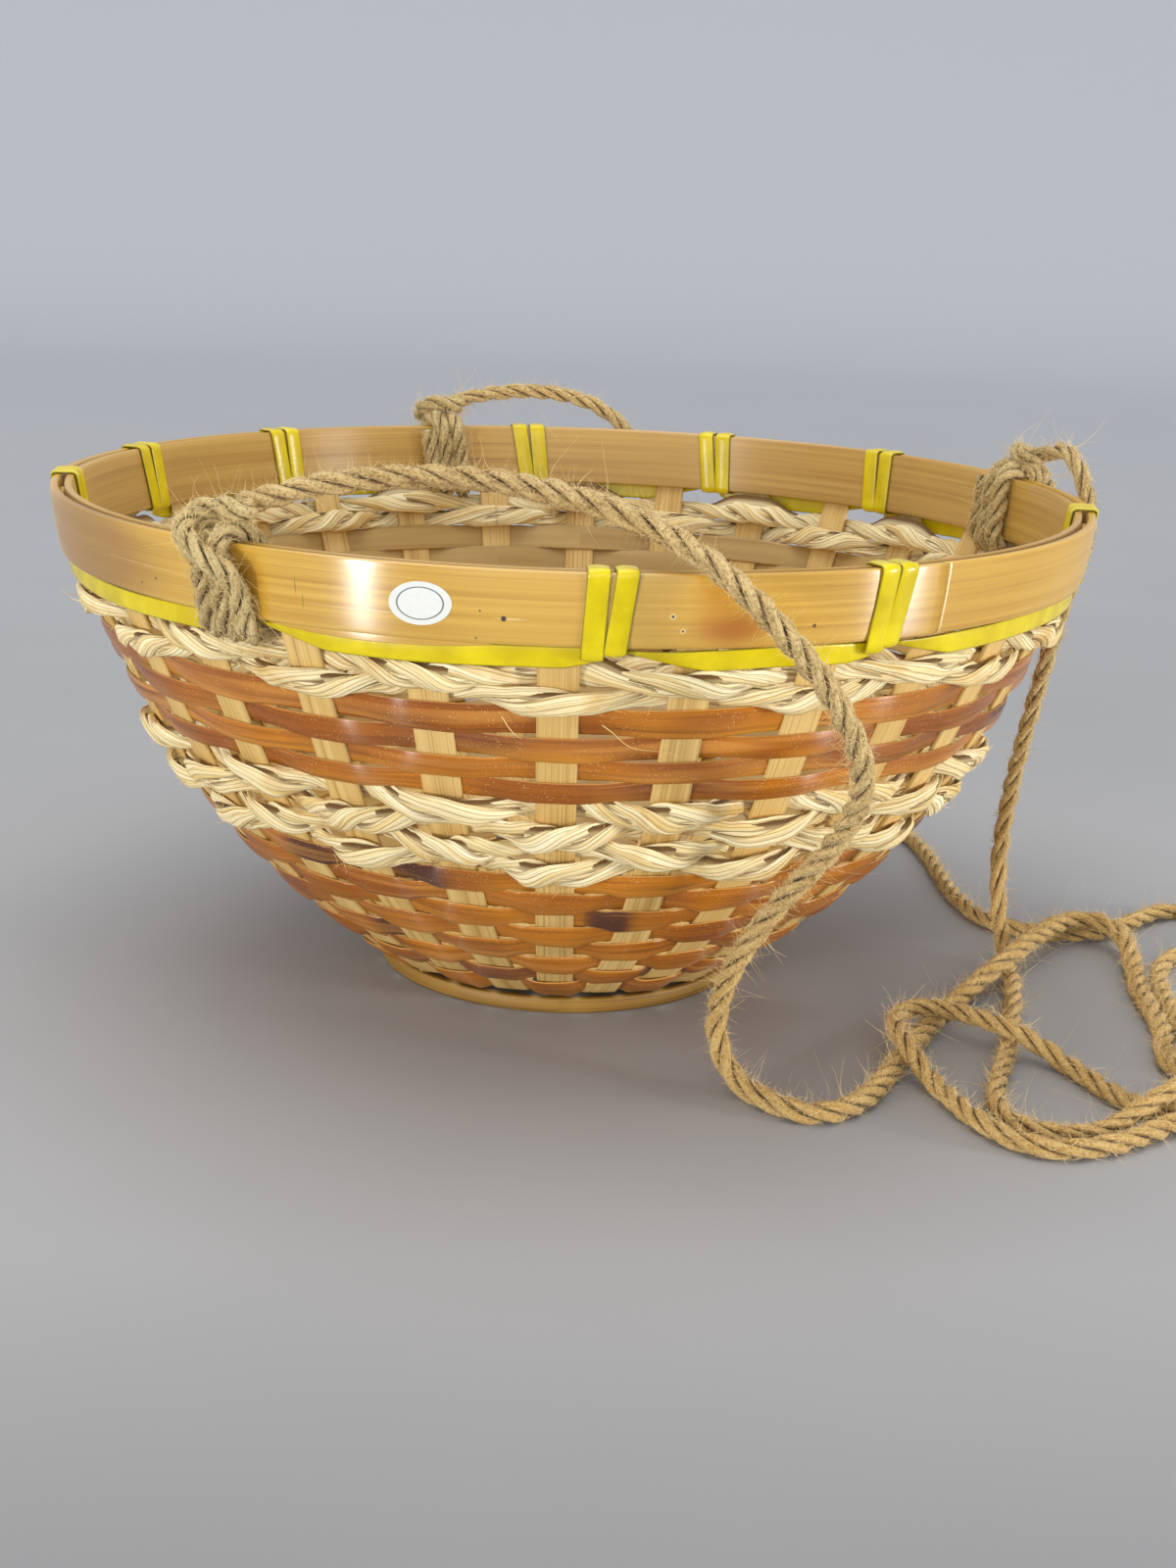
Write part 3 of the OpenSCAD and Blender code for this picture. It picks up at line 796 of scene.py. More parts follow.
# %% Split bamboo finish
def bamboo_finish(name, dark, light, line, across, along, bump, **sockets):
    """Straight-grained bamboo: streaks from dark to light, and thin lines of a third colour."""
    f = Finish(name, **sockets)
    grain = f.grain(across, along, f.own("seed"))
    f.colour = f.mix(grain["Streaks"], dark, light)
    f.over(light, f.cloud(35.0, 3.0), 0.4, 0.75)
    f.over(line, grain["Lines"], 0.5, 0.95, 0.65)
    return f.done(grain["Lines"], bump)


SPLIT_BAMBOO = bamboo_finish(
    "split_bamboo", (204, 164, 90), (228, 194, 124), (158, 112, 46),
    across=3200.0, along=5.0, bump=0.00002, Roughness=0.55, Specular_IOR_Level=0.3,
)
print("finish", SPLIT_BAMBOO.name)

# %% [markdown]
# ## Stakes
# A splint is one long strip: it starts between the hoops, runs down the wall, crosses the base
# over and under the seven splints that lie the other way, and climbs the far wall to the hoops
# again. Its line and the direction across its width are worked out point by point from the wall's
# curve, and a thin section with eased edges is carried along it.

# %% Stake helpers
SPLINTS, MIDDLE_SPLINT = 7, 4
BASE_PITCH = 0.0118
STAKE_TOP = 0.0015
BEND_HALF = 0.0046  # from a crossing's middle to where the splint starts to bend
HOOP_STEPS, WALL_STEPS = 6, 62


def boxy(a, width, thick, crown=0.0, power=0.45):
    """A flat section with eased edges: (across, out) at a share of the way round. The outer
    face may be crowned."""
    c = 2 * math.pi * a
    across = np.sign(np.cos(c)) * np.abs(np.cos(c)) ** power
    out = np.sign(np.sin(c)) * np.abs(np.sin(c)) ** power
    rise = np.where(out > 0, crown * (1 - across**2), 0.0)
    return across * width / 2, out * thick / 2 + rise


def strip_skin(bm, line, width_way, face_way, section, around, shift=0.0):
    """A strip carried along a line; section gives (across, out) for arrays a and t."""
    spot = np.linspace(0, 1, len(line))

    def place(a, t):
        middle, w, f = (read(way, t, spot) for way in (line, width_way, face_way))
        across, out = section(a, t)
        return middle + w * across[:, None] + f * out[:, None]

    length = float(run_of(line)[-1])
    add_skin(bm, around, len(line) - 1, place, 2 * (SPLINT_W + SPLINT_T), length, shift=shift)


def stake_half(wall_angle, base_angle):
    """One end of a splint from the hoops to the base circle: points, width and face directions.
    It turns to its place in the base over the last two ninths of the wall, and lies down flat
    over the last one."""
    down = np.linspace(STAKE_TOP, HOOP_H - 0.001, HOOP_STEPS)
    run = np.linspace(0.001, WALL_LENGTH, WALL_STEPS)
    dr, dz = wall_down(np.clip(run, 0.001, WALL_LENGTH - 0.0011))
    ninths = run / WALL_LENGTH * 9
    turn, flat = np.clip((ninths - 7) / 2, 0, 1), np.clip(ninths - 8, 0, 1)
    out_r, out_z = -dz * (1 - flat) + 0.3 * flat, dr * (1 - flat) - 0.95 * flat
    around = wall_angle + (base_angle - wall_angle) * turn
    face_angle = around * (1 - turn / 2)
    in_hoops = np.full(HOOP_STEPS, wall_angle)
    points = [polar(wall_angle, *rim_rz(STAKE_DEPTH, down)), polar(around, *wall_at(run))]
    widths = polar(np.concatenate([in_hoops, face_angle]) + 90, 1.0, 0.0)
    faces = [
        polar(in_hoops, math.cos(HOOP_LEAN), -math.sin(HOOP_LEAN)),
        polar(face_angle, out_r, out_z),
    ]
    return np.vstack(points), widths, np.vstack(faces)


def splint_line(across_set, k):
    """The whole splint: the near end, the base and the far end."""
    place = k - MIDDLE_SPLINT
    offset = place * BASE_PITCH
    wall_angle = place * STAKE_PITCH
    base_angle = math.degrees(math.asin(offset / FOOT_R))
    knots = []
    for j in range(1, SPLINTS + 1):
        up = ((j + k + across_set) % 2) * 2 - 1
        for side in (-1, 1):
            x = (j - MIDDLE_SPLINT) * BASE_PITCH + side * BEND_HALF
            knots.append((offset, x, BASE_Z + up * (SPLINT_T + PLAY) / 2))
    line = evenly(np.array(knots), 0.0007)
    base = [line] + [np.tile(way, (len(line), 1)) for way in ([1.0, 0.0, 0.0], [0.0, 0.0, -1.0])]
    near, far = stake_half(wall_angle, base_angle), stake_half(-wall_angle, -base_angle)
    turn = math.radians(STAKE_TURN + 90 * across_set)
    spin = np.array([
        [math.cos(turn), math.sin(turn), 0], [-math.sin(turn), math.cos(turn), 0], [0, 0, 1]
    ])
    flips = (np.array([-1, -1, 1]), np.array([1, 1, -1]), np.array([-1, -1, 1]))
    return [
        np.vstack([start, middle, (end * flip)[::-1]]) @ spin
        for start, middle, end, flip in zip(near, base, far, flips)
    ]


def smooth_rows(values, reach):
    """Averages a list of points or directions over a few neighbours, holding the ends."""
    padded = np.vstack([values[:1]] * reach + [values] + [values[-1:]] * reach)
    window = 2 * reach + 1
    return averaged(padded, np.ones(window) / window)


# %% [markdown]
# The splints of one set are cut from the same stem but not from the same place, so each has its
# own width, within a few per cent, and its own seed for the grain.

# %% Stakes
stake_rng = random.Random(28)
for across_set, set_name in enumerate(("splint_along", "splint_across")):
    for k in range(1, SPLINTS + 1):
        line, width_way, face_way = splint_line(across_set, k)
        wide = SPLINT_W * stake_rng.uniform(1.0, 1.04)
        bm = bmesh.new()
        strip_skin(
            bm, smooth_rows(line, 1), width_way, smooth_rows(face_way, 2),
            lambda a, t: boxy(a, wide, SPLINT_T, 0.00012, 0.3), 12, 0.02 * k,
        )
        splint = f"{set_name}_{k}"
        seed = 3.7 * k + 31 * across_set
        to_piece(splint + "_strip", bm, SPLIT_BAMBOO, splint, seed)

# %% [markdown]
# ## Rows
# Both kinds of row follow the same path: out in front of one stake, in behind the next. The
# row's distance from the wall's middle swings from plus to minus like a wave with flat tops as
# wide as a stake. Each row starts one stake on from the row above, which is what makes it a
# plain weave. A strip spreads a little where it rides over a stake, and is pinched between its
# neighbours where it dives. Every row begins and ends at the back, hidden under a stake.

# %% Row path
CORD_T, WEAVER_T = 0.004, 0.0009
SEEN_T = 0.0006  # a strip's own thickness, without the play that the weave needs
CLEAR = 0.00005  # between a row and the stake it crosses
HOLD = 0.7  # the share of a stake's half width where a row lies flat against it
ROW_GAP, SLOT_H, FOOT_MARGIN = 0.00015, 0.0006, 0.004
HITCH_ROOM = 0.0005  # between the first row and a hitch's rope under the hoops
ROWS_START = LINER_DROP + ROW_GAP + ROPE_D + HITCH_ROOM
# Each row from the top down: its name, width and thickness, and the slot left open above it.
ROWS = (
    [(f"top_cord_{k}", 0.0054, CORD_T, 0.0) for k in (1, 2)]
    + [("upper_weaver_1", 0.0084, WEAVER_T, 0.0)]
    + [(f"upper_weaver_{k}", 0.0066, WEAVER_T, SLOT_H if k == 2 else 0.0) for k in (2, 3, 4)]
    + [(f"middle_cord_{k}", 0.0068, CORD_T, 0.0) for k in (1, 2, 3, 4)]
    + [(f"lower_weaver_{k}", 0.0072 + k * 0.0004, WEAVER_T, 0.0) for k in range(1, 9)]
)
room = WALL_LENGTH - ROWS_START - FOOT_MARGIN - SLOT_H - ROW_GAP * (len(ROWS) - 1)
ROW_FIT = room / sum(row[1] for row in ROWS)


def row_place(k):
    """How far down the wall the middle of a row lies."""
    above = sum(row[1] * ROW_FIT + row[3] + ROW_GAP for row in ROWS[:k])
    return ROWS_START + above + ROWS[k][3] + ROWS[k][1] * ROW_FIT / 2


def weave_wave(k, angle, radius):
    """From 1, outside a stake, to -1, inside it, at an angle round row k."""
    place = (angle - STAKE_TURN) / STAKE_PITCH
    stake = np.floor(place).astype(int)
    hold = HOLD * (SPLINT_W / 2 + PLAY) / (radius * math.radians(STAKE_PITCH))
    part = np.clip((place - stake - hold) / (1 - 2 * hold), 0, 1)
    return np.where((stake + k) % 2 == 1, 1.0, -1.0) * np.cos(math.pi * part)


def row_angle(k, t):
    """The angle at shares t of the way round row k, from its beginning at the back."""
    return STAKE_TURN + STAKE_PITCH * (14 + k % 2) + 360 * t


def row_frame(k, t):
    """Points of row k's path at shares t of the way round, the directions down and out, how
    fully the row rides over or behind a stake there, and its wave."""
    angle = row_angle(k, t)
    phase = random.Random(500 + k).uniform(0, 2 * math.pi)
    run = row_place(k) + ROW_GAP * np.sin(2 * np.radians(angle) + phase)
    radius, height = wall_at(run)
    down_r, down_z = wall_down(run)
    wave = weave_wave(k, angle, radius)
    thick = CORD_T + PLAY if ROWS[k][2] == CORD_T else SEEN_T
    out = wave * ((SPLINT_T + thick) / 2 + CLEAR)
    middle = polar(angle, radius - down_z * out, height + down_r * out)
    down, face = polar(angle, down_r, down_z), polar(angle, -down_z, down_r)
    share = np.clip((np.abs(wave) - 0.35) / 0.5, 0, 1)
    return middle, down, face, share * share * (3 - 2 * share), wave


def row_length(k):
    """The way round the basket at a row."""
    return 2 * math.pi * float(wall_at(row_place(k))[0])


for k in (0, 5, 9, 17):
    print(ROWS[k][0], "lies", round(1000 * row_place(k), 1), "mm down the wall")

# %% [markdown]
# ## Stain and dust
# The brown strips are stained and varnished cane. The stain took unevenly, so its colour drifts
# along each strip: that is a slow noise, stretched along the UV map. On the varnish lies a dust
# of bright specks: those are the cells of a Voronoi texture, of which a second noise keeps
# clumps. Each is a group of nodes that puts out masks, so that a finish can give them colours.

# %% Stain and dust groups
stain, n, given, made = new_group("stain", ["Vector", "Seed"], ["Amber", "Dusk"])
place = n.split(given["Vector"])
for socket, stretch, low, high, offset in (
    ("Amber", 22.0, 0.40, 0.60, 0.0), ("Dusk", 16.0, 0.54, 0.70, 9.0)
):
    across, along = n.times(place[0], 60.0), n.times(place[1], stretch)
    away = n.plus(n.times(given["Seed"], 7.3), offset)
    at = n.put("CombineXYZ", {0: across, 1: along, 2: away})[0]
    stain.links.new(n.spread(n.noise(at, 1.0, 2.0), low, high), made[socket])

dust, n, given, made = new_group("dust", ["Vector", "Size", "Amount"], ["Specks"])
specks = n.put("TexVoronoi", {"Vector": given["Vector"], "Scale": given["Size"]})
clumps = n.noise(given["Vector"], 90.0, 3.0)
near = n.spread(specks["Distance"], 0.24, 0.16)
kept = n.spread(specks["Color"], 0.5, 0.6)
where = n.spread(n.plus(clumps, given["Amount"]), 0.5, 0.7)
dust.links.new(n.times(n.times(near, kept), where), made["Specks"])
print("stain and dust groups made")

# %% [markdown]
# ## Brown strip finish
# A strip's colour goes from amber through red-brown to a dusky pink-brown, with a few patches
# nearly black. The dusky pink-brown is partly the stain's own patches and partly a painted
# reflection: towards the basket's left and right sides it stands for the grazing sheen of the
# varnish. Under the varnish run fine fibre lines. The back of a strip is its plain pale pith,
# and its cut edges show as thin light lines. Each effect is a mask, and the masks are laid over
# each other from the bottom up.

# %% Brown strip finish
f = Finish(
    "brown_strip", Roughness=0.34, Anisotropic=1.0, Anisotropic_Rotation=0.25,
    Specular_IOR_Level=0.45, Coat_Weight=0.06, Coat_Roughness=0.2,
)
f.round_the_rim()
seed, up, out, burnt = (f.own(name) for name in ("seed", "up", "out", "burnt"))
stained = f.put("Group", {"Vector": f.uv(), "Seed": seed}, node_tree=stain)
grain = f.grain(2000.0, 25.0, seed)
lines, streaks = grain["Lines"], grain["Streaks"]
# Painted reflection: towards the left and right sides the varnish's grazing sheen is painted in as
# dusky pink-brown, over the stain's own dusky patches.
sideways = f.calc("ABSOLUTE", f.split(f.here())[0])
dusk_stain_and_sheen = f.calc("MAXIMUM", f.times(stained["Dusk"], 0.75), f.spread(sideways, 0.07, 0.14, 0.75))
specks = f.put("Group", {"Vector": f.here(), "Size": 1700.0, "Amount": 0.1}, node_tree=dust)
f.colour = f.mix(stained["Amber"], (158, 88, 18), (196, 120, 24))
f.over((132, 80, 50), dusk_stain_and_sheen)
f.over((220, 150, 48), f.times(f.spread(up, 0.2, -0.8), stained["Amber"]), strength=0.8)
f.over((72, 42, 34), f.times(burnt, f.spread(f.plus(burnt, streaks), 0.6, 1.3)), strength=0.92)
f.colour = f.mix(f.spread(lines, 0.0, 0.6), f.mix(0.5, f.colour, (84, 38, 8)), f.colour)
f.over((226, 158, 74), streaks, 0.65, 1.0, 0.5)
f.over((250, 220, 166), specks[0], strength=0.85)
f.over((214, 160, 84), f.calc("ABSOLUTE", out), 0.42, 0.2, 0.6)
f.over(f.mix(streaks, (168, 132, 70), (196, 162, 98)), out, 0.0, -0.35)
BROWN = f.done(lines, 0.000009)
print("brown finish", len(f.tree.nodes), "nodes")

# %% [markdown]
# ## Brown strips
# A strip is flat behind and crowned in front, like the peel of a cane, so each one catches the
# light along its upper part. The section tips a little from stake to stake, as a real strip
# does when it is pressed down on the row below.

# %% Brown strips
STRIP_CROWN = 0.0006
FOOT_PRESS = 0.0014  # how far the last row is pressed down onto the foot
SPILL, LOWER_SPILL = 0.0006, 0.0022  # how far a strip spreads over a stake
BURNT = {  # dark places in the stain: (degrees from the front, half width in degrees)
    "lower_weaver_1": [(-37, 8), (-20, 6), (62, 9), (128, 12)], "lower_weaver_3": [(7, 6)],
    "upper_weaver_3": [(66, 9), (-120, 10)], "lower_weaver_5": [(-30, 8), (150, 10)],
    "upper_weaver_1": [(178, 14)], "lower_weaver_7": [(24, 9), (-84, 12)],
}


def burnt_at(row_name, point):
    """How burnt a strip is at a point, from 0 to 1."""
    angle = math.degrees(math.atan2(point.x, -point.y))
    patches = BURNT.get(row_name, ())
    return max([0.0] + [min(1.0, 1.6 * (1 - abs(angle - at) / half)) for at, half in patches])


for k, (row_name, width, thick, _) in enumerate(ROWS):
    if thick != WEAVER_T:
        continue
    phase = random.Random(900 + k).uniform(0, 2 * math.pi)
    spill = LOWER_SPILL if row_name.startswith("lower") else SPILL

    def place(a, t):
        middle, down, face, ride, _ = row_frame(k, t)
        breadth = width * ROW_FIT * (0.975 + 0.01 * np.sin(6 * math.pi * t + phase)) + spill * ride
        if k == len(ROWS) - 1:
            middle, breadth = middle + down * FOOT_PRESS, breadth + 2 * FOOT_PRESS
        if row_name == "upper_weaver_2":  # reaches up into the slot above it, most at the back
            reach = 0.0004 + 0.0008 * (1 - np.cos(np.radians(row_angle(k, t)))) / 2
            middle, breadth = middle - down * reach[:, None] / 2, breadth + reach
        across, out = boxy(a, 1.0, SEEN_T, STRIP_CROWN, 0.5)
        tip = 0.05 * np.sin(math.pi * STAKES * t + phase) * across * breadth
        return middle - down * (across * breadth)[:, None] + face * (out + tip)[:, None]

    bm = bmesh.new()
    add_skin(bm, 20, STAKES * 10, place, 2 * (width + thick), row_length(k))
    strip = to_piece(row_name + "_strip", bm, BROWN, row_name, 4.0 + 2.3 * k)
    mark_points(strip, "burnt", [burnt_at(row_name, vert.co) for vert in strip.data.vertices])

# %% [markdown]
# ## Seagrass finish
# Seagrass is a bundle of dry flat blades, pale straw yellow and matte, with dark lines where two
# blades part. The blades run along the ply, so the lines follow its UV map. Each blade is about
# a millimetre wide, which is finer than the mesh, so the seams between them are a mask that
# comes round ten times for one turn of the section, two for each ridge of the mesh.

# %% Seagrass finish
SEAGRASS_REACH = (0.00145, 0.00088)   # along the wall, and out of it
SEAGRASS_PLY = (0.00155, 0.00125)
SEAGRASS_HIGH = 0.0058  # the two plies as they are laid, before they are stretched to a row
SEAGRASS_LAY = 0.037
CORE_T = 0.0009  # half the thickness of the flat core
RIDGES, BLADES = 5, 10
PLY_ROUND = 2 * math.pi * max(SEAGRASS_PLY)

f = Finish("seagrass", Roughness=0.7, Specular_IOR_Level=0.3)
grain = f.grain(3000.0, 14.0, f.own("seed"))
lines, streaks = grain["Lines"], grain["Streaks"]
turned = f.plus(f.times(f.split(f.uv())[0], BLADES / PLY_ROUND), f.times(streaks, 0.35))
crest = f.calc("ABSOLUTE", f.calc("COSINE", f.times(turned, math.pi)))
f.colour = f.mix(streaks, (234, 204, 134), (255, 244, 202))
f.over((186, 142, 66), lines, 0.42, 0.05, 0.7)
f.over((206, 158, 70), f.cloud(60.0, 3.0), 0.55, 0.72, 0.6)
f.over((158, 114, 52), crest, 0.32, 0.08, 0.7)
# Painted shade: each ply darkens on its inner side, where the two plies press together, and the
# flat core darkens along its upper edge.
f.colour = f.mix(f.spread(f.own("up"), -0.8, -0.2), (108, 76, 36), f.colour)
SEAGRASS = f.done(f.plus(f.spread(crest, 0.0, 0.6), f.times(lines, 0.4)), 0.00012)
print("seagrass finish", len(f.tree.nodes), "nodes")

# %% [markdown]
# ## Seagrass cords
# A seagrass cord is two plies twisted round each other, pressed flat against the wall. Each ply
# is a bundle of ten blades. The twist isn't even: it is tight in places and nearly parallel
# in others. The cord swells where it rides over a stake and is squeezed between its neighbours
# where it dives, so its height follows the weave. A flat core of straight blades lies between
# the plies and stops the light.

# %% Seagrass cords
cord_lines = {}
t = np.linspace(0, 1, 1201)
for k, (row_name, width, thick, _) in enumerate(ROWS):
    if thick != CORD_T:
        continue
    middle, down, face, ride, _ = row_frame(k, t)
    rng = random.Random(70 + k)
    uneven = 0.10 * np.sin(2 * math.pi * 11 * t + rng.uniform(0, 6))
    uneven += 0.16 * np.sin(2 * math.pi * 4 * t + rng.uniform(0, 6))
    turns = round(row_length(k) / SEAGRASS_LAY) * t + uneven - uneven[0]
    turn_way = 1 if k % 2 else -1
    bm = bmesh.new()
    twist_plies(
        bm, middle, down, face, turns * turn_way, 2, SEAGRASS_REACH, SEAGRASS_PLY, steps=700,
        around=28, slant=0.12 * turn_way, lobes=RIDGES, ridge=0.09,
        grow=width * ROW_FIT / SEAGRASS_HIGH * (1 + 0.30 * ride), fill=0.6,
    )

    def core(a, t):
        middle, down, face, ride, wave = row_frame(k, t)
        high = width * ROW_FIT * (0.5 + 0.1 * ride)
        if k == 0:  # reaches up behind the lashing, where it lies inside
            lift = 0.0016 * np.clip(-wave, 0, 1)
            middle, high = middle - down * lift[:, None], high + lift
        c = 2 * math.pi * a
        return middle + down * (high * np.cos(c))[:, None] + face * (CORE_T * np.sin(c))[:, None]

    add_skin(bm, 14, 420, core, 0.010, float(run_of(middle)[-1]))
    to_piece(row_name + "_plies", bm, SEAGRASS, row_name, 2.0 + 1.9 * k)
    cord_lines[row_name] = (middle, face)

# %% [markdown]
# ## Stray seagrass blades
# Broken blades stick out of the cords: most are short, and a few long stiff ones lean out over
# the strips below. They are made as the jute's hairs are, but stiffer, and the long ones are
# thicker.

# %% Stray blades
STRAW_HAIR = hair_finish("straw_blade", (226, 198, 130))
# Broken blades that lie across the strips: the degrees round and rows down of their two ends.
LOOSE_BLADES = [
    (-6.4, 1.7, -4.0, 2.9), (3.4, 1.9, 10.4, 3.5), (-58.0, 2.2, -61.5, 3.4),
    (118.0, 2.0, 123.0, 3.4), (-131.0, 2.4, -127.0, 3.6),
]
LOOSE_LIFT = 0.0022
CORD_R = 0.0026  # from a cord's middle to where its stray blades start


def blade_end(around, rows_down):
    """A place just off the wall."""
    run = np.interp(rows_down, range(len(ROWS)), [row_place(k) for k in range(len(ROWS))])
    radius, height = wall_at(run)
    return polar(around, radius + LOOSE_LIFT, height - 0.3 * LOOSE_LIFT)


def loose_blade(angle, row, end_angle, end_row):
    """A straight blade from one place on the wall to another, as a hair."""
    start = blade_end(angle, row)
    way = blade_end(end_angle, end_row) - start
    length = float(np.linalg.norm(way))
    return start, way / length, np.array([0.03, 0.02, 0.01]), length, 0.00017


for number, (row_name, (middle, face)) in enumerate(cord_lines.items()):
    bm = bmesh.new()
    for count, seed, lengths, thick, curl, along, steps in (
        (90, 300, (0.003, 0.008), 0.00011, 0.25, 1.1, 4),
        (260, 400, (0.0012, 0.003), 0.00007, 0.4, 1.3, 3),
    ):
        grow_hairs(
            bm, middle, count, seed + number, CORD_R, lengths, thick, curl, along, steps, face
        )
    if row_name == "top_cord_2":
        add_hairs(bm, [loose_blade(*ends) for ends in LOOSE_BLADES], 8)
    to_piece(row_name + "_blades", bm, STRAW_HAIR)

# %% [markdown]
# ## Soft spots
# The stains and pinholes of the hoop, and one broad patch of painted shade, are ovals of another
# colour. They could be painted on an image, but a formula stays sharp at any distance: how far a
# point of the UV map is from the oval's middle, cut off softly at its edge, is the oval's mask.

# %% Spot group
spot, n, given, made = new_group(
    "spot", ["Vector", "Down", "Round", "Tall", "Wide", "Edge"], ["Mask"]
)
at = n.split(given["Vector"])
away_x, away_y = (
    n.calc("DIVIDE", n.calc("SUBTRACT", at[i], given[middle]), given[half])
    for i, middle, half in ((0, "Down", "Tall"), (1, "Round", "Wide"))
)
away = n.calc("SQRT", n.plus(n.times(away_x, away_x), n.times(away_y, away_y)))
mask = n.spread(
    n.calc("SUBTRACT", 1.0, away), 0.0, given["Edge"], interpolation_type="SMOOTHSTEP"
)
spot.links.new(mask, made["Mask"])
print("spot group", len(spot.nodes), "nodes")

# %% [markdown]
# ## Hoop finish
# The outer hoop is a broad strip of bamboo, honey coloured and varnished. Its grain runs round
# the rim in very fine lines, which spread any reflection up and down into a bright bar. A broad
# orange stain and a few pinholes mark the front, and each is a soft spot. A broad darker soft
# spot at the far left is painted shade.

# %% Hoop finish
ORANGE, PIN, RING = (170, 102, 12), (52, 34, 20), (236, 206, 140)
# Each spot: mm down, degrees round, mm half height and half width, edge, colour, strength.
SPOTS = [
    (13.0, 14.5, 7.0, 14.0, 0.9, ORANGE, 0.95), (6.0, 13.0, 8.0, 8.0, 0.9, (196, 132, 28), 0.7),
    (15.0, 32.0, 5.0, 10.0, 0.9, ORANGE, 0.45), (9.0, -31.0, 12.0, 7.0, 0.9, (164, 112, 40), 0.5),
    # Painted shade: this broad darker spot darkens the far left of the hoop.
    (9.0, -58.0, 20.0, 54.0, 0.6, (148, 104, 40), 0.75),
    (12.0, -18.0, 0.3, 24.0, 0.8, RING, 0.45), (8.0, -25.6, 3.0, 0.25, 0.7, PIN, 0.45),
    (11.5, -24.9, 2.6, 0.25, 0.7, PIN, 0.4), (11.6, -5.3, 0.35, 5.0, 0.8, RING, 0.8),
    (11.6, -5.9, 0.75, 0.75, 0.3, PIN, 1.0), (10.0, -8.0, 0.3, 0.3, 0.3, PIN, 0.9),
    (16.6, -8.4, 0.25, 0.35, 0.3, PIN, 0.8), (10.0, 9.0, 1.0, 1.0, 0.5, RING, 0.9),
    (10.0, 9.0, 0.45, 0.45, 0.3, PIN, 0.9), (13.5, 10.0, 0.9, 0.9, 0.5, RING, 0.8),
    (13.5, 10.0, 0.35, 0.35, 0.3, PIN, 0.9), (13.0, 22.5, 0.6, 0.6, 0.3, PIN, 0.9),
    (4.5, 48.0, 0.5, 0.5, 0.3, PIN, 0.9), (12.5, 40.0, 0.35, 0.35, 0.3, PIN, 0.8),
    (16.5, 41.5, 0.3, 0.3, 0.3, RING, 0.9), (14.5, -46.0, 0.4, 0.4, 0.3, PIN, 0.9),
    (12.5, -43.5, 0.4, 0.4, 0.3, PIN, 0.9),
]


def hoop_finish(name, dark, light, line, spots, **sockets):
    """Varnished bamboo whose grain runs round the rim, with soft spots of other colours."""
    f = Finish(
        name, Anisotropic=1.0, Anisotropic_Rotation=0.25, Coat_Roughness=0.15,
        Specular_IOR_Level=1.0, **sockets,
    )
    f.round_the_rim()
    uv = f.uv()
    grain = f.grain(2600.0, 9.0, f.own("seed"))
    f.colour = f.mix(grain["Streaks"], dark, light)
    f.over(light, f.cloud(14.0, 3.0), 0.4, 0.7, 0.6)
    f.over(line, grain["Lines"], 0.6, 1.0, 0.5)
    for down, angle, tall, wide, edge, colour, strength in spots:
        inputs = {
            "Vector": uv, "Down": down / 1000, "Round": math.radians(angle) * RIM_R,
            "Tall": tall / 1000, "Wide": wide / 1000, "Edge": edge,
        }
        f.over(colour, f.put("Group", inputs, node_tree=spot)[0], strength=strength)
    pits = f.cloud(1800.0, 2.0)
    return f.done(f.plus(f.times(pits, 0.5), grain["Lines"]), 0.000006)


HOOP = hoop_finish(
    "outer_hoop_bamboo", (190, 139, 30), (216, 172, 66), (168, 114, 34), SPOTS,
    Roughness=0.3, IOR=1.62,
)
LINER = hoop_finish(
    "inner_hoop_bamboo", (176, 132, 54), (200, 162, 82), (140, 96, 38), (),
    Roughness=0.45, Coat_Weight=0.05, IOR=1.5,
)
print("hoop finishes", len(HOOP.node_tree.nodes), "nodes")

# %% [markdown]
# ## Hoops
# A hoop is a flat strip bent into a ring, so it is a boxy section carried round the rim. The
# outer one overlaps itself: its outer end lies at the right of the front, over an inner end
# that was shaved thin, so there the face steps in by 0.8 mm and grows back over the next 30
# degrees. Its face is slightly crowned. At the left of the front a thin slip of bamboo shows
# below its edge.

# %% Hoops
LAP_ANGLE, LAP_TAPER, LAP_STEP = 36.8, 30.0, 0.0008
HOOP_CROWN = 0.0003
SLIP_START, SLIP_TURN = -30, 24
LINER_SEAM = -160


def hoop_skin(bm, start, turn, depths, downs, steps, crown=0.0, edge=0.28, around=20):
    """A strip round part of the rim. depths and downs give the section's two depths and two
    distances down at an angle. The UV map counts down from the top and round from the front."""
    def place(a, t):
        near, far = depths(start + turn * t)
        top, foot = downs(start + turn * t)
        across, out = boxy(a, 1.0, 1.0, 0.0, edge)
        down = (top + foot) / 2 - across * (foot - top)
        depth = (near + far) / 2 - out * (far - near)
        depth = depth - np.where(out > 0, crown * (1 - (2 * across) ** 2), 0.0)
        return rim_point(start + turn * t, depth, down)

    made = add_skin(bm, around, steps, place, 1.0, 1.0)
    layer = bm.loops.layers.uv.active
    for face in {f for v in made for f in v.link_faces}:
        for loop in face.loops:
            spot, t = loop.vert.co, loop[layer].uv[1]
            face_r = rim_rz(0.7 * HOOP_T, RIM_Z - spot.z)[0]
            behind = 0.03 if math.hypot(spot.x, spot.y) < face_r else 0.0
            loop[layer].uv = (RIM_Z - spot.z + behind, math.radians(start + turn * t) * RIM_R)


def outer_depths(angle):
    """The outer hoop's face steps in under its own end, and comes back out over the taper."""
    past_lap = angle - (LAP_ANGLE - 360)
    return LAP_STEP * np.clip(1 - past_lap / LAP_TAPER, 0, 1), HOOP_T


def slip_downs(angle):
    """The slip's two edges: hidden above, and swelling out below."""
    share = np.clip((angle - SLIP_START) / SLIP_TURN, 0, 1)
    return HOOP_H - 0.001, HOOP_H - 0.0005 + 0.0023 * np.sin(math.pi * share) ** 0.6


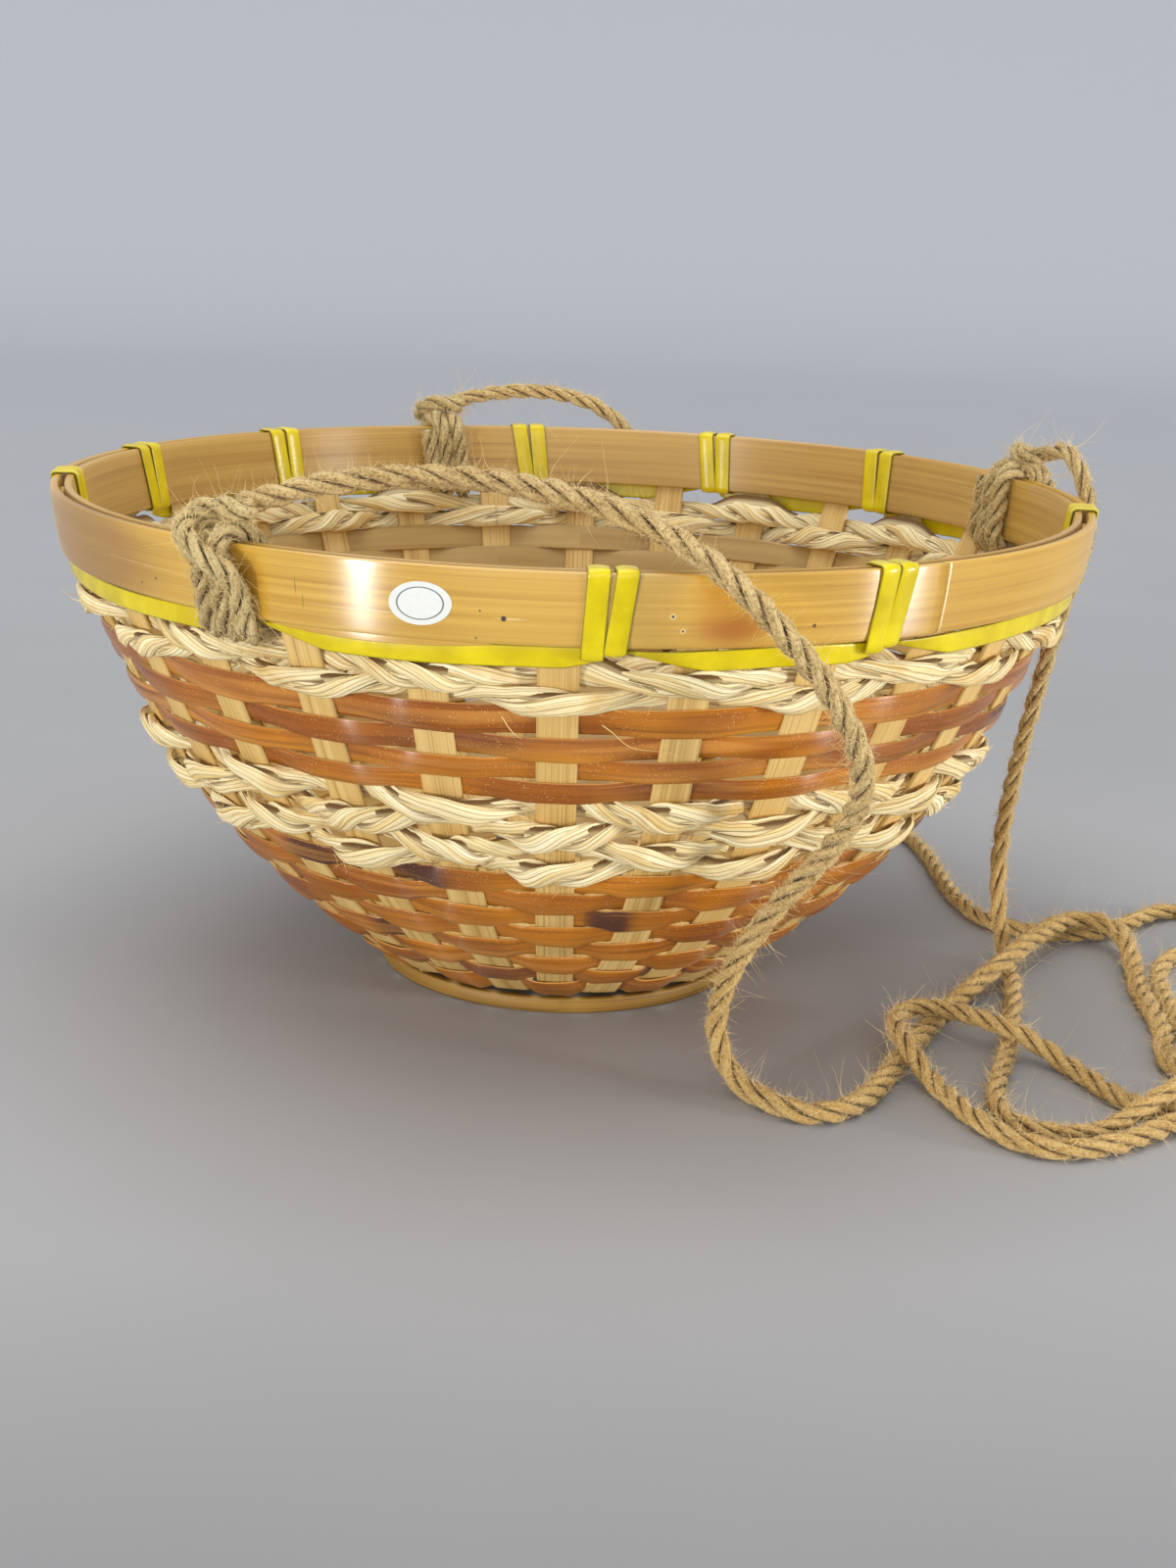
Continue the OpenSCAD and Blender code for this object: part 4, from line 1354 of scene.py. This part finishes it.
bm = bmesh.new()
hoop_skin(bm, LAP_ANGLE - 360, 360, outer_depths, lambda angle: (0, HOOP_H), 360, HOOP_CROWN)
hoop_skin(
    bm, SLIP_START, SLIP_TURN, lambda angle: (0.0007, 0.0015), slip_downs, 24, edge=0.4, around=12
)
to_piece("outer_hoop_strip", bm, HOOP, "outer_hoop", 6.0)
bm = bmesh.new()
hoop_skin(
    bm, LINER_SEAM, 360, lambda angle: (LINER_DEPTH, HOOPS_DEPTH), lambda angle: (0, HOOPS_H), 288
)
to_piece("inner_hoop_strip", bm, LINER, "inner_hoop", 15.0)

# %% [markdown]
# ## Foot ring
# The basket stands on a ring of split bamboo, tied under the base. It is taller than it is
# thick and darker than the stakes, and its section is a rounded box carried round.

# %% Foot ring
FOOT_T = 0.003
FOOT_FINISH = bamboo_finish(
    "foot_bamboo", (128, 90, 30), (162, 122, 48), (86, 54, 18),
    across=1600.0, along=14.0, bump=0.00003, Roughness=0.5,
)


def foot_place(a, t):
    across, out = boxy(a, FOOT_H, FOOT_T)
    return polar(360 * t, FOOT_R - FOOT_T / 2 + out, FOOT_H / 2 + across)


bm = bmesh.new()
add_skin(bm, 16, 160, foot_place, 2 * (FOOT_T + FOOT_H), 2 * math.pi * FOOT_R)
to_piece("foot_ring_strip", bm, FOOT_FINISH, "foot_ring", 21.0)

# %% [markdown]
# ## Lashing finish
# The lashing is a flat plastic cane in bright yellow, glossy, with faint olive mottling. Along
# both edges it is painted a darker olive, which is painted shade where the cane folds round.

# %% Lashing finish
f = Finish("yellow_cane", Roughness=0.27, Specular_IOR_Level=0.5)
f.colour = f.mix(f.spread(f.cloud(120.0, 4.0), 0.35, 0.7), (204, 180, 0), (228, 206, 8))
# Painted shade: both long edges of the cane darken to olive.
f.over((132, 126, 12), f.calc("ABSOLUTE", f.own("up")), 0.72, 0.98)
YELLOW = f.done(f.cloud(900.0, 2.0), 0.00008, 0.8)
print("lashing finish", len(f.tree.nodes), "nodes")

# %% [markdown]
# ## Lashing turns
# At nine places the cane goes twice round both hoops. One turn is a strip on a closed line: the
# outline of the two hoops with rounded corners. On the way down the outside it leans, so its
# lower end lies a little further left than its top.

# %% Lashing turns
LASHINGS = [3.6, 31, 82.5, 134, 160, 187, 224, 250, 275]
LASH_W, LASH_T, LASH_GAP, LASH_PLAY = 0.0054, 0.0006, 0.0012, 0.00015
CANE_T = LASH_T * 0.8  # as it shows, with its edges eased
CORNER, TURN_STEPS = 0.0011, 72
LEANS, LEAN_APART = (0.0009, 0.0015, 0.0021), 0.0013


def round_both_hoops(gap, corner, count):
    """The outline round the hoops at a gap, as (depth, down) pairs, closed and evenly spaced."""
    far_d, far_v = HOOPS_DEPTH + gap, HOOPS_H + gap
    outline = []
    for first, depth, down in (
        (270, far_d - corner, corner - gap), (0, far_d - corner, far_v - corner),
        (90, corner - gap, far_v - corner), (180, corner - gap, corner - gap),
    ):
        for a in np.radians(np.linspace(first, first + 90, 7)):
            outline.append((depth + corner * math.cos(a), down + corner * math.sin(a), 0))
    return evenly(np.array(outline + outline[:1]), 2 * (far_d + far_v + 2 * gap) / count)


def lashing_turn(bm, angle, lean, low_end=0.0):
    """One turn of cane round both hoops; lean is how far its foot lies to the left, in metres."""
    depth, down, _ = round_both_hoops(LASH_PLAY + LASH_T / 2, CORNER, TURN_STEPS).T
    sag = low_end * np.clip((down - HOOP_H) / 0.001, 0, 1) * np.clip(1 - depth / 0.003, 0, 1)
    around = angle - round_rim(lean) * np.clip(down / HOOPS_H, 0, 1)
    line = rim_point(around, depth, down + sag)
    ahead = np.roll(line[:-1], -1, axis=0) - np.roll(line[:-1], 1, axis=0)
    ahead = np.vstack([ahead, ahead[:1]])
    ahead /= np.linalg.norm(ahead, axis=1)[:, None]
    sideways = polar(around + 90, 1.0, 0.0)
    out = np.cross(ahead, sideways)
    centre = rim_point(angle, HOOPS_DEPTH / 2, HOOPS_H / 2)
    if np.einsum("ij,ij->i", out, line - centre).mean() < 0:
        out = -out
    strip_skin(bm, line, sideways, out, lambda a, t: boxy(a, LASH_W, CANE_T, 0.0004, 0.5), 16)


bm = bmesh.new()
for number, angle in enumerate(LASHINGS):
    lean = LEANS[number % 3]
    apart = round_rim(LASH_W + (0.0002 if number == 1 else LASH_GAP)) / 2
    lashing_turn(bm, angle - apart, lean, 0.0014)
    lashing_turn(bm, angle + apart, lean + LEAN_APART)
to_piece("lashing_turns_cane", bm, YELLOW, "lashing_turns")

# %% [markdown]
# ## Lashing runs
# Between two lashings the cane runs along under the outer hoop. It comes out from behind a turn
# edge on, as a narrow twisted point, and opens to its full width within 20 mm, so its width
# and its twist both change along it.

# %% Lashing runs
RUN_DEPTH = STAKE_DEPTH - SPLINT_T / 2 - PLAY - LASH_T / 2
ties = sorted(
    [(angle, LASH_W + LASH_GAP / 2) for angle in LASHINGS]
    + [((angle + 360) % 360, 1.5 * ROPE_D) for _, angle, _ in HITCHES.values()]
)
ties.append((ties[0][0] + 360, ties[0][1]))
bm = bmesh.new()
run_rng = random.Random(14)
for number, ((angle, half), (after, after_half)) in enumerate(zip(ties, ties[1:])):
    start = angle + round_rim(half - 0.002)
    end = after - round_rim(after_half - 0.003)
    t = np.linspace(0, 1, max(24, round((end - start) * 1.4)))
    length = math.radians(end - start) * RIM_R
    opening = np.clip(t * length / 0.020, 0.0, 1.0) ** 0.8
    closing = np.clip((1 - t) * length / 0.008, 0.0, 1.0) ** 0.7
    wide = LASH_W * (0.22 + 0.78 * opening) * (0.6 + 0.4 * closing)
    down = HOOP_H + 0.0003 + wide / 2 + 0.0003 * np.sin(7 * t + number)
    around = start + (end - start) * t
    line = rim_point(around, RUN_DEPTH + 0.0004 * (1 - opening), down)
    twist = np.radians(-50 * (1 - opening) + run_rng.uniform(-6, 6) * np.sin(math.pi * t))
    cos, sin = np.cos(twist)[:, None], np.sin(twist)[:, None]
    out = polar(around, math.cos(HOOP_LEAN), -math.sin(HOOP_LEAN))
    upright = np.cross(out, polar(around + 90, 1.0, 0.0))
    strip_skin(
        bm, line, upright * cos - out * sin, out * cos + upright * sin,
        lambda a, s: boxy(a, np.interp(s, t, wide), CANE_T, 0.0002, 0.5), 12,
    )
to_piece("lashing_runs_cane", bm, YELLOW, "lashing_runs")

# %% [markdown]
# ## Paper label
# A small oval paper label is stuck on the front of the hoop. It is bare apart from a thin oval
# ring. It starts as a disc of a few rings of faces, so that it can bend round the hoop, and its
# points are then laid on the hoop's face, with the paper's own thickness standing proud.

# %% Paper label
LABEL_ANGLE, LABEL_DOWN = -13.4, 0.0092
LABEL_W, LABEL_H, LABEL_T = 0.0152, 0.0104, 0.00012
f = Finish("label_paper", Roughness=0.32, Coat_Weight=0.2, Coat_Roughness=0.2)
from_middle = f.own("ring")
ring = f.times(f.spread(from_middle, 0.70, 0.725), f.spread(from_middle, 0.775, 0.75))
paper = f.cloud(700.0, 3.0)
f.colour = f.mix(paper, (224, 226, 218), (236, 237, 228))
f.over((96, 108, 104), ring)
PAPER = f.done(paper, 0.00003, 0.5)


def middle_face(bm):
    """The face of the disc's middle, which has the most corners."""
    return max(bm.faces, key=lambda face: len(face.verts))


bm = bmesh.new()
bmesh.ops.create_circle(bm, cap_ends=True, segments=64, radius=1.0)
for share in (0.01, 0.22, 0.03, 0.05, 0.3):  # rings of faces, from the edge in
    bmesh.ops.inset_region(bm, faces=[middle_face(bm)], thickness=share, use_even_offset=True)
bmesh.ops.poke(bm, faces=[middle_face(bm)])
lower = bmesh.ops.extrude_face_region(bm, geom=bm.faces[:])["geom"]
for vert in bm.verts:
    vert.co.z = 0.0
for vert in lower:
    if isinstance(vert, bmesh.types.BMVert):
        vert.co.z = 1.0
rings = []
for vert in bm.verts:
    x, y, raised = vert.co
    rings.append(math.hypot(x, y))
    down = LABEL_DOWN - y * LABEL_H / 2 - 0.02 * LABEL_W * x
    crown = HOOP_CROWN * (1 - (2 * down / HOOP_H - 1) ** 2)
    angle = LABEL_ANGLE + round_rim(x * LABEL_W / 2)
    vert.co = rim_point(angle, -crown - LABEL_T * (0.3 + raised), down)
mark_points(to_piece("paper_label", bm, PAPER), "ring", rings)

# %% [markdown]
# ## Floor and light
# The basket stands on a plain pale floor that curves up into a wall all round, so no view shows
# an edge. The profile is a line of edges spun right round. Light comes from a large soft box
# overhead, a broad one far in front, a narrow upright one at the left, whose reflection runs
# down the varnished hoop as a thin bright bar, and a small one at the right, which makes a
# broader glare. A pale world fills the shadows.

# %% Floor and light
FLAT_R, CURVE_R = 2.2, 0.8
curve = [
    (FLAT_R + CURVE_R * math.sin(a), CURVE_R - CURVE_R * math.cos(a))
    for a in np.radians(range(10, 91, 10))
]
bm = bmesh.new()
profile = [
    bm.verts.new((x, 0.0, z))
    for x, z in [(0.0, 0.0), (FLAT_R, 0.0), *curve, (FLAT_R + CURVE_R, 1.0)]
]
for pair in zip(profile, profile[1:]):
    bm.edges.new(pair)
bmesh.ops.spin(
    bm, geom=bm.verts[:] + bm.edges[:], cent=(0, 0, 0), axis=(0, 0, 1), angle=2 * math.pi,
    steps=96, use_merge=True,
)
bmesh.ops.remove_doubles(bm, verts=bm.verts, dist=1e-5)
bmesh.ops.recalc_face_normals(bm, faces=bm.faces)
if bm.faces[0].normal.z < 0:
    bmesh.ops.reverse_faces(bm, faces=bm.faces)
for face in bm.faces:
    face.smooth = True
floor_mesh = bpy.data.meshes.new("floor")
bm.to_mesh(floor_mesh)
bm.free()
floor = bpy.data.objects.new("floor", floor_mesh)
bpy.context.scene.collection.objects.link(floor)

f = Finish("floor", Roughness=0.7)
here = f.here()
away = f.put("VectorMath", {0: here}, operation="LENGTH")["Value"]
f.colour = f.mix(f.noise(here, 5.0, 3.0), (156, 156, 157), (168, 168, 169))
# Painted shade: the floor darkens towards the front, between the basket and the camera.
f.over((118, 118, 119), f.split(here)[1], -0.2, -0.42)
f.over((208, 211, 216), away, 0.5, 2.6)
floor_mesh.materials.append(f.done())


def soft_box(name, place, aim, size, power):
    """A rectangular area lamp that faces a point."""
    lamp = bpy.data.lights.new(name, "AREA")
    lamp.shape = "RECTANGLE"
    lamp.size, lamp.size_y = size
    lamp.energy = power
    box = bpy.data.objects.new(name, lamp)
    box.location = place
    box.rotation_mode = "QUATERNION"
    box.rotation_quaternion = (Vector(aim) - Vector(place)).to_track_quat("-Z", "Y")
    bpy.context.scene.collection.objects.link(box)


soft_box("overhead", (-0.2, 0.05, 1.6), (0, 0, 0.05), (1.3, 1.3), 13.5)
soft_box("front_box", (0.0, -2.3, 0.6), (0, 0, 0.1), (2.2, 0.9), 10)
soft_box("left_strip", (-0.99, -1.14, 0.17), (0, 0, 0.13), (0.06, 0.3), 11)
soft_box("right_box", (1.37, -0.58, 0.17), (0, 0, 0.13), (0.27, 0.26), 14)
world = bpy.data.worlds.new("world")
world.use_nodes = True
background = world.node_tree.nodes["Background"].inputs
background[0].default_value = paint(236, 238, 242)
background[1].default_value = 0.76
bpy.context.scene.world = world
print("lamps and floor made")
